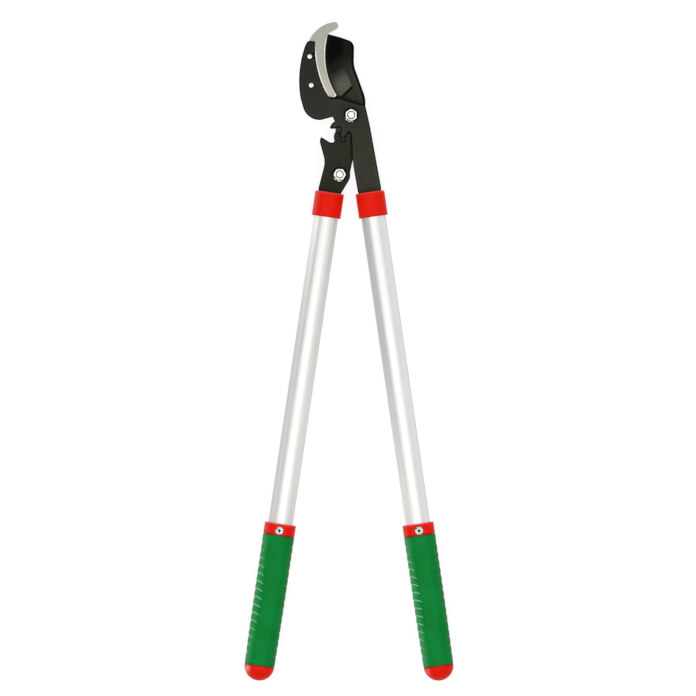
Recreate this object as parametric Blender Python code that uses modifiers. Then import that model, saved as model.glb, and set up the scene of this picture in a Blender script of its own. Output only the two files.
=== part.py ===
"""A two-handed geared lopper for cutting branches, lying flat on its back.

A hook plate and a gear lever lie side by side in the plane of the handles. The cutting blade
lies behind them: it turns on the main pivot, and its arm carries the lever pivot. The lever's
teeth roll round the teeth of the hook plate, so the handles turn further than the blade does.

Metres, +Z up, +Y from the grips to the jaws. The origin is under the middle of the tool.
"""

import math

import bmesh
import bpy
from mathutils import Matrix, Vector

# Clearances
SEAT_GAP = 0.0003  # between two faces that rest on each other
BORE_GAP = 0.0002  # round a pin in its hole

# Plates of the head, front to back
PLATE_THICKNESS = 0.0060  # hook plate and gear lever
COUNTER_THICKNESS = 0.0030
BLADE_THICKNESS = 0.0060

# Pivots
PIVOT_SPACING = 0.0690  # main pivot to lever pivot
PIVOT_LEAN = math.radians(10.95)  # lever pivot, left of straight below the main pivot
BOLT_DIAMETER = 0.0079
NUT_ACROSS_FLATS = 0.0130
NUT_HEIGHT = 0.0065
HEX_CHAMFER = 0.0008
BOLT_END_ABOVE_NUT = 0.0006
WASHER_DIAMETER = 0.0160
WASHER_THICKNESS = 0.0016

# Gear teeth, counted as if both sectors were full wheels
HOOK_TEETH = 10
LEVER_TEETH = 20
PRESSURE_ANGLE = math.radians(22)
HOOK_ADDENDUM = 0.0054
LEVER_ADDENDUM = 0.0024
HOOK_ROOT_CLEARANCE = 0.0014
LEVER_ROOT_CLEARANCE = 0.0030
HOOK_TOOTH_THICKNESS = 0.0073  # along the pitch circle
BACKLASH = 0.0010
DRIVE_GAP = 0.0002  # between the flanks that push when the jaws close
MESH_ARC = 0.0046  # pitch-circle arc from the line of centres to the hook plate's lower tooth
TOOTH_TIP_ROUND = 0.0010
TOOTH_ROOT_ROUND = 0.0016

# Cutting edge of the counter blade: an arc about a point right of the jaws
EDGE_LEFT = -0.0298  # the arc's leftmost point
EDGE_HEIGHT = 0.0686
EDGE_RADIUS = 0.0870
EDGE_HEEL = (-0.0163, 0.0222)
EDGE_TOE_HEIGHT = 0.0929

# Hook of the counter blade
HOOK_CENTRE = (-0.0133, 0.0681)
HOOK_RADIUS = 0.0388
HOOK_TOE_ANGLE = math.radians(99.9)
HOOK_BACK_ANGLE = math.radians(152)
HOOK_TOE_ROUND = 0.0046
COUNTER_INSET = 0.0030  # hidden behind the jaw's back by this
COUNTER_FOOT_HEIGHT = 0.0225
COUNTER_FOOT_RIGHT = (-0.0240, 0.0170)
RIVET_DIAMETER = 0.0054
RIVET_CROWN = 0.0005
UPPER_RIVET = (-0.0475, 0.0669)
LOWER_RIVET = (-0.0456, 0.0346)

# Jaw of the hook plate
JAW_EDGE_LEFT = -0.0414
JAW_EDGE_HEIGHT = 0.0773
JAW_EDGE_RADIUS = 0.1120
JAW_TOP = 0.0842
JAW_TOP_LEFT = (-0.0495, 0.0848)
JAW_BACK_LEFT = -0.0594
JAW_BACK_HEIGHT = 0.0390
JAW_BACK_RADIUS = 0.1200
JAW_BACK_END = 0.0190  # height where the back meets the round heel
JAW_HEEL = (-0.0360, 0.0140)
JAW_HEEL_RADIUS = 0.0195
HEEL_CORNER = (-0.0210, -0.0018)
HEEL_NOTCH_LIFT = 0.0012  # above the teeth's root circle
HEEL_NOTCH_ANGLE = math.radians(13.5)  # beyond the middle of the upper tooth
JAW_SOCKET = (-0.0252, 0.0205)  # where the jaw turns up beside the counter blade
SHOULDER_LEFT = (-0.0125, 0.0207)
SHOULDER_RIGHT = (0.0160, 0.0112)

# Lever arm of the hook plate
ARM_GAP = 0.0014  # from the gear lever's right side
ARM_TOP = -0.0240
ARM_WAIST = (0.0032, -0.0560)  # from the gear lever's right side, and height
ARM_RIGHT = (0.0213, -0.0120)

# Gear lever, from the lever pivot
LEVER_RIGHT = 0.0120
LEVER_HIP_RIGHT = (0.0119, -0.0042)
HORN_ROOT_ANGLE = math.radians(-6.0)  # the horn's angles are from where its tooth would be
HORN_TIP_ANGLE = math.radians(4.2)
HORN_BACK_ANGLE = math.radians(9.0)
HORN_TIP_DROP = 0.0003
HORN_BACK_DROP = 0.0040
LEVER_WAIST_LEFT = (-0.0165, 0.0145)

# Cutting blade
BLADE_OVERLAP = 0.0040  # how far the closed blade passes behind the counter blade's edge
BLADE_TOP_SLOPE = 0.260
BLADE_TOP_CREST = (-0.0120, 0.0888)
BLADE_TOP_RIGHT = (0.0033, 0.0831)
BLADE_BACK = (0.0029, 0.0565)
BLADE_SHOULDER = (0.0164, 0.0190)
BLADE_BOSS = (0.0160, 0.0060)
BLADE_ARM_RIGHT = (0.0080, -0.0230)
BLADE_ARM_LEFT = (-0.0178, -0.0169)
BLADE_HEEL = (-0.0208, 0.0120)
BLADE_END_RADIUS = 0.0106
BEVEL_WIDTH = 0.0095
BEVEL_LAND = 0.0006  # thickness left at the cutting edge
BEVEL_END = 0.0230  # how far above the main pivot the bevel starts
HOLLOW_DEPTH = 0.0020
HOLLOW_RADIUS = 0.3500
HOLLOW_MIDDLE = 0.0620
HOLLOW_RIGHT_TOP = (-0.0095, 0.1000)
HOLLOW_RIGHT_BEND = (-0.0095, 0.0590)
HOLLOW_CORNER = (0.0016, 0.0318)
HOLLOW_FOOT = (-0.0105, 0.0215)
EDGE_BAND = 0.0030  # flat band left between the hollow and the cutting edge

# Handles
HOOK_SPLAY = math.radians(8.25)  # right handle
LEVER_SPLAY = math.radians(8.45)  # left handle
HOOK_HANDLE_OFFSET = 0.0084  # right handle's axis from the main pivot
HOOK_NECK = 0.0898  # main pivot to the ferrule's top, along the handle
LEVER_HANDLE_OFFSET = 0.0083
LEVER_NECK = 0.0216
TUBE_DIAMETER = 0.0280
TUBE_WALL = 0.0015
NECK_INSET = 0.0013  # the plate's neck is narrower than the tube by this on each side
ARM_INSET = 0.0005  # the same for the arm above the neck
NECK_BEVEL = 0.0018  # height in which the arm narrows to the neck
BUSH_SIDE_WALL = 0.0018  # beside the tang
TANG_LENGTH = 0.0560
BUSH_LENGTH = 0.0480
TANG_PIN_DIAMETER = 0.0050
TANG_PIN_DROP = 0.0155
FERRULE_WALL = 0.0024
FERRULE_LENGTH = 0.0284
FERRULE_TOP_WALL = 0.0030
FERRULE_ROUND = 0.0018

# Grips
GRIP_DROP = 0.3819  # ferrule's top to the grip's top
GRIP_LENGTH = 0.1809
SLEEVE_WALL = 0.0021
GRIP_TAPER = 0.0007  # how much thinner the sleeve and the dome are at the bottom, each side
GRIP_FLAT = 0.0011  # how deep the grips are flattened in front and behind
COLLAR_LENGTH = 0.0125
COLLAR_ROUND = 0.0010
CORE_WALL = 0.0014
RIB_COUNT = 14
RIB_PITCH = 0.0090
RIB_FIRST = 0.0200  # first groove below the collar
RIB_WIDTH = 0.0044
RIB_DEPTH = 0.0009
RIB_DROOP = 0.0030  # how far a groove's ends hook down towards the middle of the grip
RIB_REACH = math.radians(56)  # how far a groove runs to each side of the grip's side
SCREW_DROP = 0.0079
SCREW_HEAD_DIAMETER = 0.0094
SCREW_HEAD_HEIGHT = 0.0026
SCREW_DIAMETER = 0.0040
SCREW_LENGTH = 0.0080
RECESS_WIDTH = 0.0048
RECESS_SLOT = 0.0011
RECESS_DEPTH = 0.0016

# Facets
ARC_STEP = math.radians(15)
ARC_CHORD = 0.0060
TURNED_STEPS = 24
PIN_STEPS = 20
HOLLOW_STEPS = 240
BEVEL_STEPS = 120

COLOURS = {
    "coated_steel": ((0.030, 0.029, 0.022), 0.45, 0.35),
    "bare_steel": ((0.42, 0.41, 0.36), 0.35, 0.9),
    "zinc": ((0.70, 0.71, 0.68), 0.3, 0.9),
    "dark_steel": ((0.05, 0.05, 0.05), 0.5, 0.6),
    "aluminium": ((0.75, 0.75, 0.73), 0.35, 0.9),
    "red_plastic": ((0.75, 0.012, 0.006), 0.35, 0.0),
    "green_rubber": ((0.006, 0.21, 0.04), 0.55, 0.0),
    "nylon": ((0.02, 0.02, 0.02), 0.6, 0.0),
}

# Depths behind the middle of the handles' plane, which is also the middle of the front plates
PLATE_BACK = -PLATE_THICKNESS / 2
BLADE_FRONT = PLATE_BACK - SEAT_GAP
BLADE_REAR = BLADE_FRONT - BLADE_THICKNESS
BACK_WASHER = BLADE_REAR - SEAT_GAP
BOLT_SEAT = BACK_WASHER - WASHER_THICKNESS - SEAT_GAP
FRONT_WASHER = PLATE_THICKNESS / 2 + SEAT_GAP
NUT_SEAT = FRONT_WASHER + WASHER_THICKNESS + SEAT_GAP

# Sizes that follow from the gears and the grips
HOOK_PITCH_RADIUS = PIVOT_SPACING * HOOK_TEETH / (HOOK_TEETH + LEVER_TEETH)
LEVER_PITCH_RADIUS = PIVOT_SPACING - HOOK_PITCH_RADIUS
TOOTH_PITCH = 2 * math.pi * HOOK_PITCH_RADIUS / HOOK_TEETH
HOOK_TIP_RADIUS = HOOK_PITCH_RADIUS + HOOK_ADDENDUM
HOOK_ROOT_RADIUS = HOOK_PITCH_RADIUS - LEVER_ADDENDUM - HOOK_ROOT_CLEARANCE
LEVER_TIP_RADIUS = LEVER_PITCH_RADIUS + LEVER_ADDENDUM
LEVER_ROOT_RADIUS = LEVER_PITCH_RADIUS - HOOK_ADDENDUM - LEVER_ROOT_CLEARANCE
EDGE_CENTRE = (EDGE_LEFT + EDGE_RADIUS, EDGE_HEIGHT)
JAW_EDGE_CENTRE = (JAW_EDGE_LEFT + JAW_EDGE_RADIUS, JAW_EDGE_HEIGHT)
JAW_BACK_CENTRE = (JAW_BACK_LEFT + JAW_BACK_RADIUS, JAW_BACK_HEIGHT)
GRIP_BORE = TUBE_DIAMETER / 2 + BORE_GAP
BARREL_RADIUS = GRIP_BORE + CORE_WALL
GRIP_RADIUS = BARREL_RADIUS + BORE_GAP + SLEEVE_WALL
GRIP_END_RADIUS = GRIP_RADIUS - GRIP_TAPER
REST_DEPTH = GRIP_RADIUS - GRIP_FLAT  # the bolt heads reach down to where the grips lie
NECK_WIDTH = TUBE_DIAMETER - 2 * NECK_INSET
ARM_WIDTH = TUBE_DIAMETER - 2 * ARM_INSET
TANG_WIDTH = TUBE_DIAMETER - 2 * (TUBE_WALL + BORE_GAP + BUSH_SIDE_WALL)
TUBE_TOP = -FERRULE_TOP_WALL - SEAT_GAP
DOME_SHOULDER = -GRIP_DROP - GRIP_LENGTH + GRIP_END_RADIUS
TUBE_END = DOME_SHOULDER + SEAT_GAP
SLEEVE_TOP = -GRIP_DROP - COLLAR_LENGTH - SEAT_GAP
SLEEVE_END = DOME_SHOULDER + SEAT_GAP


def turned_point(point, angle):
    """A 2D point turned anticlockwise about the origin."""
    c, s = math.cos(angle), math.sin(angle)
    return point[0] * c - point[1] * s, point[0] * s + point[1] * c


def below(point, distance, angle):
    """The point that far down a handle leaning by that angle."""
    x, y = turned_point((0, -distance), angle)
    return point[0] + x, point[1] + y


LEVER_PIVOT = below((0, 0), PIVOT_SPACING, -PIVOT_LEAN)
HOOK_NECK_PLACE = turned_point((HOOK_HANDLE_OFFSET, -HOOK_NECK), HOOK_SPLAY)
LEVER_NECK_PLACE = turned_point((-LEVER_HANDLE_OFFSET, -LEVER_NECK), -LEVER_SPLAY)


def main_pivot_place():
    """The main pivot, with the origin on the floor under the middle of the whole tool."""
    to_dome = GRIP_DROP + GRIP_LENGTH - GRIP_END_RADIUS
    right = below(HOOK_NECK_PLACE, to_dome, HOOK_SPLAY)
    left_neck = (LEVER_PIVOT[0] + LEVER_NECK_PLACE[0], LEVER_PIVOT[1] + LEVER_NECK_PLACE[1])
    left = below(left_neck, to_dome, -LEVER_SPLAY)
    toe = (HOOK_RADIUS - HOOK_TOE_ROUND) * math.sin(HOOK_TOE_ANGLE) + HOOK_TOE_ROUND
    top = HOOK_CENTRE[1] + toe
    bottom = min(left[1], right[1]) - GRIP_END_RADIUS
    return -(left[0] + right[0]) / 2, -(top + bottom) / 2, REST_DEPTH


# Outlines


def arc(centre, radius, start, end):
    """Sharp corners along an arc of a circle, from one angle to the other."""
    span = abs(end - start)
    steps = max(2, math.ceil(max(span / ARC_STEP, span * radius / ARC_CHORD)))
    angles = [start + (end - start) * i / steps for i in range(steps + 1)]
    return [
        (centre[0] + radius * math.cos(a), centre[1] + radius * math.sin(a), 0) for a in angles
    ]


def fillet(here, before, after, radius):
    """The points that round one corner, by an arc that uses under half of each side."""
    to_before, to_after = before - here, after - here
    half = to_before.angle(to_after) / 2
    reach = min(radius / math.tan(half), 0.49 * to_before.length, 0.49 * to_after.length)
    fitted = reach * math.tan(half)
    turn = math.pi - 2 * half
    middle = (to_before.normalized() + to_after.normalized()).normalized()
    centre = here + middle * (fitted / math.sin(half))
    spoke = here + to_before.normalized() * reach - centre
    last = here + to_after.normalized() * reach - centre
    sweep = math.atan2(spoke.x * last.y - spoke.y * last.x, spoke.dot(last))
    steps = max(1, math.ceil(max(turn / ARC_STEP, turn * fitted / ARC_CHORD)))
    points = []
    for k in range(steps + 1):
        x, y = turned_point(spoke, sweep * k / steps)
        points.append((centre.x + x, centre.y + y))
    return points


def rounded(corners):
    """The points of a closed outline whose corners are (x, y, fillet radius)."""
    points = []
    for i, (x, y, radius) in enumerate(corners):
        here = Vector((x, y))
        before = Vector(corners[i - 1][:2])
        after = Vector(corners[(i + 1) % len(corners)][:2])
        bend = math.pi - (before - here).angle(after - here)
        if radius > 0 and bend > math.radians(2):
            points += fillet(here, before, after, radius)
        else:
            points.append((x, y))
    return points


def grown(points, distance):
    """An anticlockwise outline moved outwards by a clearance."""
    moved = []
    for i, point in enumerate(points):
        here = Vector(point)
        to_here = (here - Vector(points[i - 1])).normalized()
        onward = (Vector(points[(i + 1) % len(points)]) - here).normalized()
        along = (to_here + onward).normalized()
        reach = distance / max(0.5, along.dot(onward))
        moved.append((here.x + along.y * reach, here.y - along.x * reach))
    return moved


def circle(centre, diameter, steps=PIN_STEPS):
    """The points of a round hole."""
    turn = 2 * math.pi / steps
    spokes = [turned_point((diameter / 2, 0), i * turn) for i in range(steps)]
    return [(centre[0] + x, centre[1] + y) for x, y in spokes]


def left_arc(centre, radius, start_height, end_height):
    """The left side of a circle, between two heights."""
    start, end = (
        math.pi - math.asin((height - centre[1]) / radius) for height in (start_height, end_height)
    )
    return arc(centre, radius, start, end)


def polar(radius, angle, corner=0.0):
    return radius * math.cos(angle), radius * math.sin(angle), corner


def involute(radius, base_radius):
    """The involute function at a radius: tan a - a, where cos a is base over radius."""
    a = math.acos(min(1.0, base_radius / radius))
    return math.tan(a) - a


def flank(pitch_radius, thickness, root_radius, tip_radius, steps=4):
    """(radius, half angle of the tooth) from root to tip. Below the base circle it is radial."""
    base = pitch_radius * math.cos(PRESSURE_ANGLE)
    at_pitch = thickness / (2 * pitch_radius) + involute(pitch_radius, base)
    low = max(base, root_radius)
    radii = [low + (tip_radius - low) * (i / steps) ** 1.3 for i in range(steps + 1)]
    if root_radius < base:
        radii.insert(0, root_radius)
    return [(r, at_pitch - involute(r, base) if r > base else at_pitch) for r in radii]


def tooth(middle, sides, low_side=True, high_side=True):
    """Corners of one tooth, anticlockwise round its wheel: up one flank and down the other."""
    corners = []
    rounds = [TOOTH_ROOT_ROUND] + [0] * (len(sides) - 2) + [TOOTH_TIP_ROUND]
    flanks = list(zip(sides, rounds))
    if low_side:
        corners += [polar(radius, middle - half, corner) for (radius, half), corner in flanks]
    if high_side:
        corners += [polar(radius, middle + half, corner) for (radius, half), corner in flanks[::-1]]
    return corners


def tang_corners(place, splay):
    """An arm's end, its neck in the ferrule's slot and the tang in the tube, left to right."""
    half_arm, half_neck, half_tang = ARM_WIDTH / 2, NECK_WIDTH / 2, TANG_WIDTH / 2
    left = [
        (-half_arm, NECK_BEVEL, 0.0),
        (-half_neck, 0.0, 0.0),
        (-half_neck, -FERRULE_TOP_WALL, 0.0),
        (-half_tang, -FERRULE_TOP_WALL, 0.0),
        (-half_tang, -TANG_LENGTH, 0.003),
    ]
    right = [(-x, y, corner) for x, y, corner in reversed(left)]
    placed_corners = []
    for x, y, corner in left + right:
        px, py = turned_point((x, y), splay)
        placed_corners.append((place[0] + px, place[1] + py, corner))
    return placed_corners


def hook_plate_outline():
    """Anticlockwise from the jaw's top: jaw back, heel, two teeth, lever arm, tang, shoulder."""
    sides = flank(HOOK_PITCH_RADIUS, HOOK_TOOTH_THICKNESS, HOOK_ROOT_RADIUS, HOOK_TIP_RADIUS)
    centres = math.radians(270) - PIVOT_LEAN
    lower = centres - MESH_ARC / HOOK_PITCH_RADIUS
    upper = lower - TOOTH_PITCH / HOOK_PITCH_RADIUS
    arm_left = LEVER_PIVOT[0] + LEVER_RIGHT
    notch = HOOK_ROOT_RADIUS + HEEL_NOTCH_LIFT
    inner_edge = left_arc(JAW_EDGE_CENTRE, JAW_EDGE_RADIUS, JAW_SOCKET[1] + 0.007, JAW_TOP)
    back = left_arc(JAW_BACK_CENTRE, JAW_BACK_RADIUS, JAW_TOP_LEFT[1], JAW_BACK_END)
    return [
        (*inner_edge[-1][:2], 0.0015),
        (*JAW_TOP_LEFT, 0.0035),
        *back[1:-1],
        (*back[-1][:2], 0.030),
        *arc(JAW_HEEL, JAW_HEEL_RADIUS, math.radians(199), math.radians(275)),
        (*HEEL_CORNER, 0.001),
        polar(notch, upper - HEEL_NOTCH_ANGLE, 0.0015),
        *tooth(upper, sides),
        *tooth(lower, sides),
        polar(HOOK_ROOT_RADIUS, math.radians(267.5), TOOTH_ROOT_ROUND),
        (arm_left + ARM_GAP, ARM_TOP, 0.006),
        (arm_left + ARM_WAIST[0], ARM_WAIST[1], 0.080),
        *tang_corners(HOOK_NECK_PLACE, HOOK_SPLAY),
        (*ARM_RIGHT, 0.060),
        (*SHOULDER_RIGHT, 0.003),
        (*SHOULDER_LEFT, 0.006),
        (*JAW_SOCKET, 0.0045),
        *inner_edge[:-1],
    ]


def counter_blade_outline():
    """Anticlockwise from the inner corner under the hook: toe, hook, back, foot, cutting edge."""
    edge = left_arc(EDGE_CENTRE, EDGE_RADIUS, EDGE_HEEL[1] + 0.003, EDGE_TOE_HEIGHT)
    corner = Vector(edge[-1][:2])
    toe_x, toe_y, _ = polar(HOOK_RADIUS - HOOK_TOE_ROUND, HOOK_TOE_ANGLE)
    toe = Vector((HOOK_CENTRE[0] + toe_x, HOOK_CENTRE[1] + toe_y))
    to_toe = toe - corner
    under = math.atan2(to_toe.y, to_toe.x) - math.asin(HOOK_TOE_ROUND / to_toe.length)
    back_radius = JAW_BACK_RADIUS - COUNTER_INSET
    back = left_arc(JAW_BACK_CENTRE, back_radius, JAW_TOP_LEFT[1], COUNTER_FOOT_HEIGHT)
    return [
        (*corner, 0.0006),
        *arc(toe, HOOK_TOE_ROUND, under - math.pi / 2, HOOK_TOE_ANGLE),
        *arc(HOOK_CENTRE, HOOK_RADIUS, HOOK_TOE_ANGLE, HOOK_BACK_ANGLE)[1:],
        *back[1:-1],
        (*back[-1][:2], 0.004),
        (*COUNTER_FOOT_RIGHT, 0.003),
        (*EDGE_HEEL, 0.0014),
        *edge[:-1],
    ]


def cutting_blade_outline():
    """Anticlockwise from the tip: cutting edge, heel, arm, round end, boss, back, top."""
    radius = EDGE_RADIUS + BLADE_OVERLAP
    centre = Vector(EDGE_CENTRE)
    crest = Vector(BLADE_TOP_CREST)
    along = Vector((-1, BLADE_TOP_SLOPE)).normalized()
    offset = crest - centre
    slant = offset.dot(along)
    tip = crest + along * (math.sqrt(slant**2 - offset.length_squared + radius**2) - slant)
    tip_angle = math.atan2(tip.y - centre.y, tip.x - centre.x)
    heel_angle = math.pi + math.asin((centre.y - BLADE_HEEL[1] - 0.007) / radius)
    end = []
    for side in (-BLADE_END_RADIUS, BLADE_END_RADIUS):
        x, y = turned_point((side, -BLADE_END_RADIUS), -PIVOT_LEAN)
        end.append((LEVER_PIVOT[0] + x, LEVER_PIVOT[1] + y, BLADE_END_RADIUS))
    return [
        (*tip, 0.0008),
        *arc(EDGE_CENTRE, radius, tip_angle, heel_angle)[1:],
        (*BLADE_HEEL, 0.006),
        (*BLADE_ARM_LEFT, 0.030),
        *end,
        (*BLADE_ARM_RIGHT, 0.030),
        (*BLADE_BOSS, 0.012),
        (*BLADE_SHOULDER, 0.060),
        (*BLADE_BACK, 0.030),
        (*BLADE_TOP_RIGHT, 0.0090),
        (*BLADE_TOP_CREST, 0.060),
    ]


def hollow_outline():
    """Anticlockwise round the hollow in the blade's front: up the right, down beside the edge."""
    radius = EDGE_RADIUS + BLADE_OVERLAP - EDGE_BAND
    return [
        (*HOLLOW_CORNER, 0.0025),
        (*HOLLOW_RIGHT_BEND, 0.040),
        (*HOLLOW_RIGHT_TOP, 0),
        *left_arc(EDGE_CENTRE, radius, HOLLOW_RIGHT_TOP[1], HOLLOW_FOOT[1] + 0.004),
        (*HOLLOW_FOOT, 0.003),
    ]


def gear_lever_outline():
    """Anticlockwise from the right hip, about the lever pivot: three teeth, horn, neck, tang."""
    thickness = TOOTH_PITCH - HOOK_TOOTH_THICKNESS - BACKLASH
    sides = flank(LEVER_PITCH_RADIUS, thickness, LEVER_ROOT_RADIUS, LEVER_TIP_RADIUS)
    arc_to_last = MESH_ARC - TOOTH_PITCH / 2 + BACKLASH / 2 - DRIVE_GAP
    last = math.radians(90) - PIVOT_LEAN + arc_to_last / LEVER_PITCH_RADIUS
    step = TOOTH_PITCH / LEVER_PITCH_RADIUS
    horn = last + 2 * step
    right_top = math.sqrt(LEVER_TIP_RADIUS**2 - LEVER_RIGHT**2)
    return [
        (*LEVER_HIP_RIGHT, 0.012),
        (LEVER_RIGHT, 0.012, 0.030),
        (LEVER_RIGHT, right_top, 0.0014),
        *tooth(last, sides, low_side=False),
        *tooth(last + step, sides),
        polar(LEVER_ROOT_RADIUS, horn + HORN_ROOT_ANGLE, 0.004),
        polar(LEVER_TIP_RADIUS - HORN_TIP_DROP, horn + HORN_TIP_ANGLE, TOOTH_TIP_ROUND),
        polar(LEVER_TIP_RADIUS - HORN_BACK_DROP, horn + HORN_BACK_ANGLE, 0.006),
        (*LEVER_WAIST_LEFT, 0.026),
        *tang_corners(LEVER_NECK_PLACE, -LEVER_SPLAY),
    ]


# Building tools


def material(name):
    """The named finish, made once."""
    colour, roughness, metallic = COLOURS[name]
    made = bpy.data.materials.get(name) or bpy.data.materials.new(name)
    made.use_nodes = True
    shader = made.node_tree.nodes["Principled BSDF"]
    shader.inputs["Base Color"].default_value = (*colour, 1)
    shader.inputs["Roughness"].default_value = roughness
    shader.inputs["Metallic"].default_value = metallic
    return made


def collection(name):
    made = bpy.data.collections.new(name)
    bpy.context.scene.collection.children.link(made)
    return made


def piece(obj, parent, finish, location=(0, 0, 0)):
    """Puts a piece of the lopper on its parent, in its finish."""
    obj.parent = parent
    obj.location = location
    PARTS.objects.link(obj)
    obj.data.materials.clear()
    obj.data.materials.append(material(finish))
    return obj


def cutter(obj, parent, location=(0, 0, 0), rotation=(0, 0, 0)):
    """Puts a cutting tool on the parent of what it cuts."""
    obj.parent = parent
    obj.location = location
    obj.rotation_euler = rotation
    obj.hide_render = True
    obj.display_type = "WIRE"
    CUTTERS.objects.link(obj)
    return obj


def cut(obj, tool, operation="DIFFERENCE"):
    modifier = obj.modifiers.new(operation.lower(), "BOOLEAN")
    modifier.operation = operation
    modifier.object = tool
    modifier.solver = "EXACT"


def smoothed(mesh):
    mesh.shade_smooth()
    mesh.set_sharp_from_angle(angle=math.radians(32))
    return mesh


def flat(name, outline, thickness, holes=()):
    """An object of an even thickness about z = 0, from a 2D curve with round holes."""
    curve = bpy.data.curves.new(name, "CURVE")
    curve.dimensions = "2D"
    curve.fill_mode = "BOTH"
    curve.extrude = thickness / 2
    for points in [outline, *holes]:
        spline = curve.splines.new("POLY")
        spline.points.add(len(points) - 1)
        for made, (x, y) in zip(spline.points, points):
            made.co = (x, y, 0, 1)
        spline.use_cyclic_u = True
    guide = bpy.data.objects.new(name, curve)
    bpy.context.scene.collection.objects.link(guide)
    graph = bpy.context.evaluated_depsgraph_get()
    mesh = bpy.data.meshes.new_from_object(guide.evaluated_get(graph))
    bpy.data.objects.remove(guide)
    bpy.data.curves.remove(curve)
    work = bmesh.new()
    work.from_mesh(mesh)
    bmesh.ops.remove_doubles(work, verts=work.verts, dist=0.000002)
    bmesh.ops.recalc_face_normals(work, faces=work.faces)
    work.to_mesh(mesh)
    work.free()
    return bpy.data.objects.new(name, smoothed(mesh))


def turned(name, profile, steps=TURNED_STEPS, closed=False):
    """An object turned about local Z from (radius, height) points that run down the outside."""
    mesh = bpy.data.meshes.new(name)
    last = len(profile) - 1
    edges = [(i, i + 1) for i in range(last)] + ([(last, 0)] if closed else [])
    mesh.from_pydata([(r, 0, z) for r, z in profile], edges, [])
    obj = bpy.data.objects.new(name, mesh)
    screw = obj.modifiers.new("turn", "SCREW")
    screw.axis = "Z"
    screw.angle = 2 * math.pi
    screw.steps = screw.render_steps = steps
    screw.use_merge_vertices = True
    screw.merge_threshold = 0.00001
    screw.use_smooth_shade = True
    return obj


def block(name, low, high):
    """A box from its lowest to its highest corner."""
    work = bmesh.new()
    size = Vector(high) - Vector(low)
    place = Matrix.Translation((Vector(high) + Vector(low)) / 2) @ Matrix.Diagonal((*size, 1))
    bmesh.ops.create_cube(work, size=1, matrix=place)
    mesh = bpy.data.meshes.new(name)
    work.to_mesh(mesh)
    work.free()
    return bpy.data.objects.new(name, mesh)


def rod(name, diameter, low, high, steps=PIN_STEPS):
    """A cylinder along local Z between two heights."""
    work = bmesh.new()
    place = Matrix.Translation((0, 0, (low + high) / 2))
    bmesh.ops.create_cone(
        work, cap_ends=True, segments=steps, radius1=diameter / 2, radius2=diameter / 2,
        depth=high - low, matrix=place,
    )
    mesh = bpy.data.meshes.new(name)
    work.to_mesh(mesh)
    work.free()
    return bpy.data.objects.new(name, smoothed(mesh))


def empty(name, parent, location, rotation=(0, 0, 0)):
    made = bpy.data.objects.new(name, None)
    made.empty_display_size = 0.02
    made.parent = parent
    made.location = location
    made.rotation_euler = rotation
    PARTS.objects.link(made)
    return made


# Pieces of the head


def tang_pin_hole(place, splay):
    return circle(below(place, TANG_PIN_DROP, splay), TANG_PIN_DIAMETER + 2 * BORE_GAP)


def pivot_hole(place):
    return circle(place, BOLT_DIAMETER + 2 * BORE_GAP)


def rivet_holes():
    return [circle(place, RIVET_DIAMETER + 2 * BORE_GAP) for place in (UPPER_RIVET, LOWER_RIVET)]


def hook_plate(body):
    """The jaw, two gear teeth and an arm in one plate, rebated behind for the counter blade."""
    holes = [pivot_hole((0, 0)), *rivet_holes(), tang_pin_hole(HOOK_NECK_PLACE, HOOK_SPLAY)]
    plate = flat("hook_plate", rounded(hook_plate_outline()), PLATE_THICKNESS, holes)
    piece(plate, body, "coated_steel")
    seat_outline = grown(rounded(counter_blade_outline()), BORE_GAP)
    seat = flat("counter_blade_seat", seat_outline, 2 * (COUNTER_THICKNESS + SEAT_GAP))
    cut(plate, cutter(seat, body, location=(0, 0, PLATE_BACK)))


def counter_blade(body):
    """The hooked cutting bar, riveted into the back of the jaw."""
    outline = rounded(counter_blade_outline())
    bar = flat("counter_blade", outline, COUNTER_THICKNESS, rivet_holes())
    piece(bar, body, "bare_steel", location=(0, 0, PLATE_BACK + COUNTER_THICKNESS / 2))


def rivet(name, body, place):
    """A rivet flush with the back of the jaw, with a low crown in front."""
    radius = RIVET_DIAMETER / 2
    front = PLATE_THICKNESS / 2
    profile = [
        (0, front + RIVET_CROWN),
        (0.6 * radius, front + 0.8 * RIVET_CROWN),
        (radius, front),
        (radius, PLATE_BACK),
        (0, PLATE_BACK),
    ]
    piece(turned(name, profile, PIN_STEPS), body, "dark_steel", location=(*place, 0))


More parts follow.
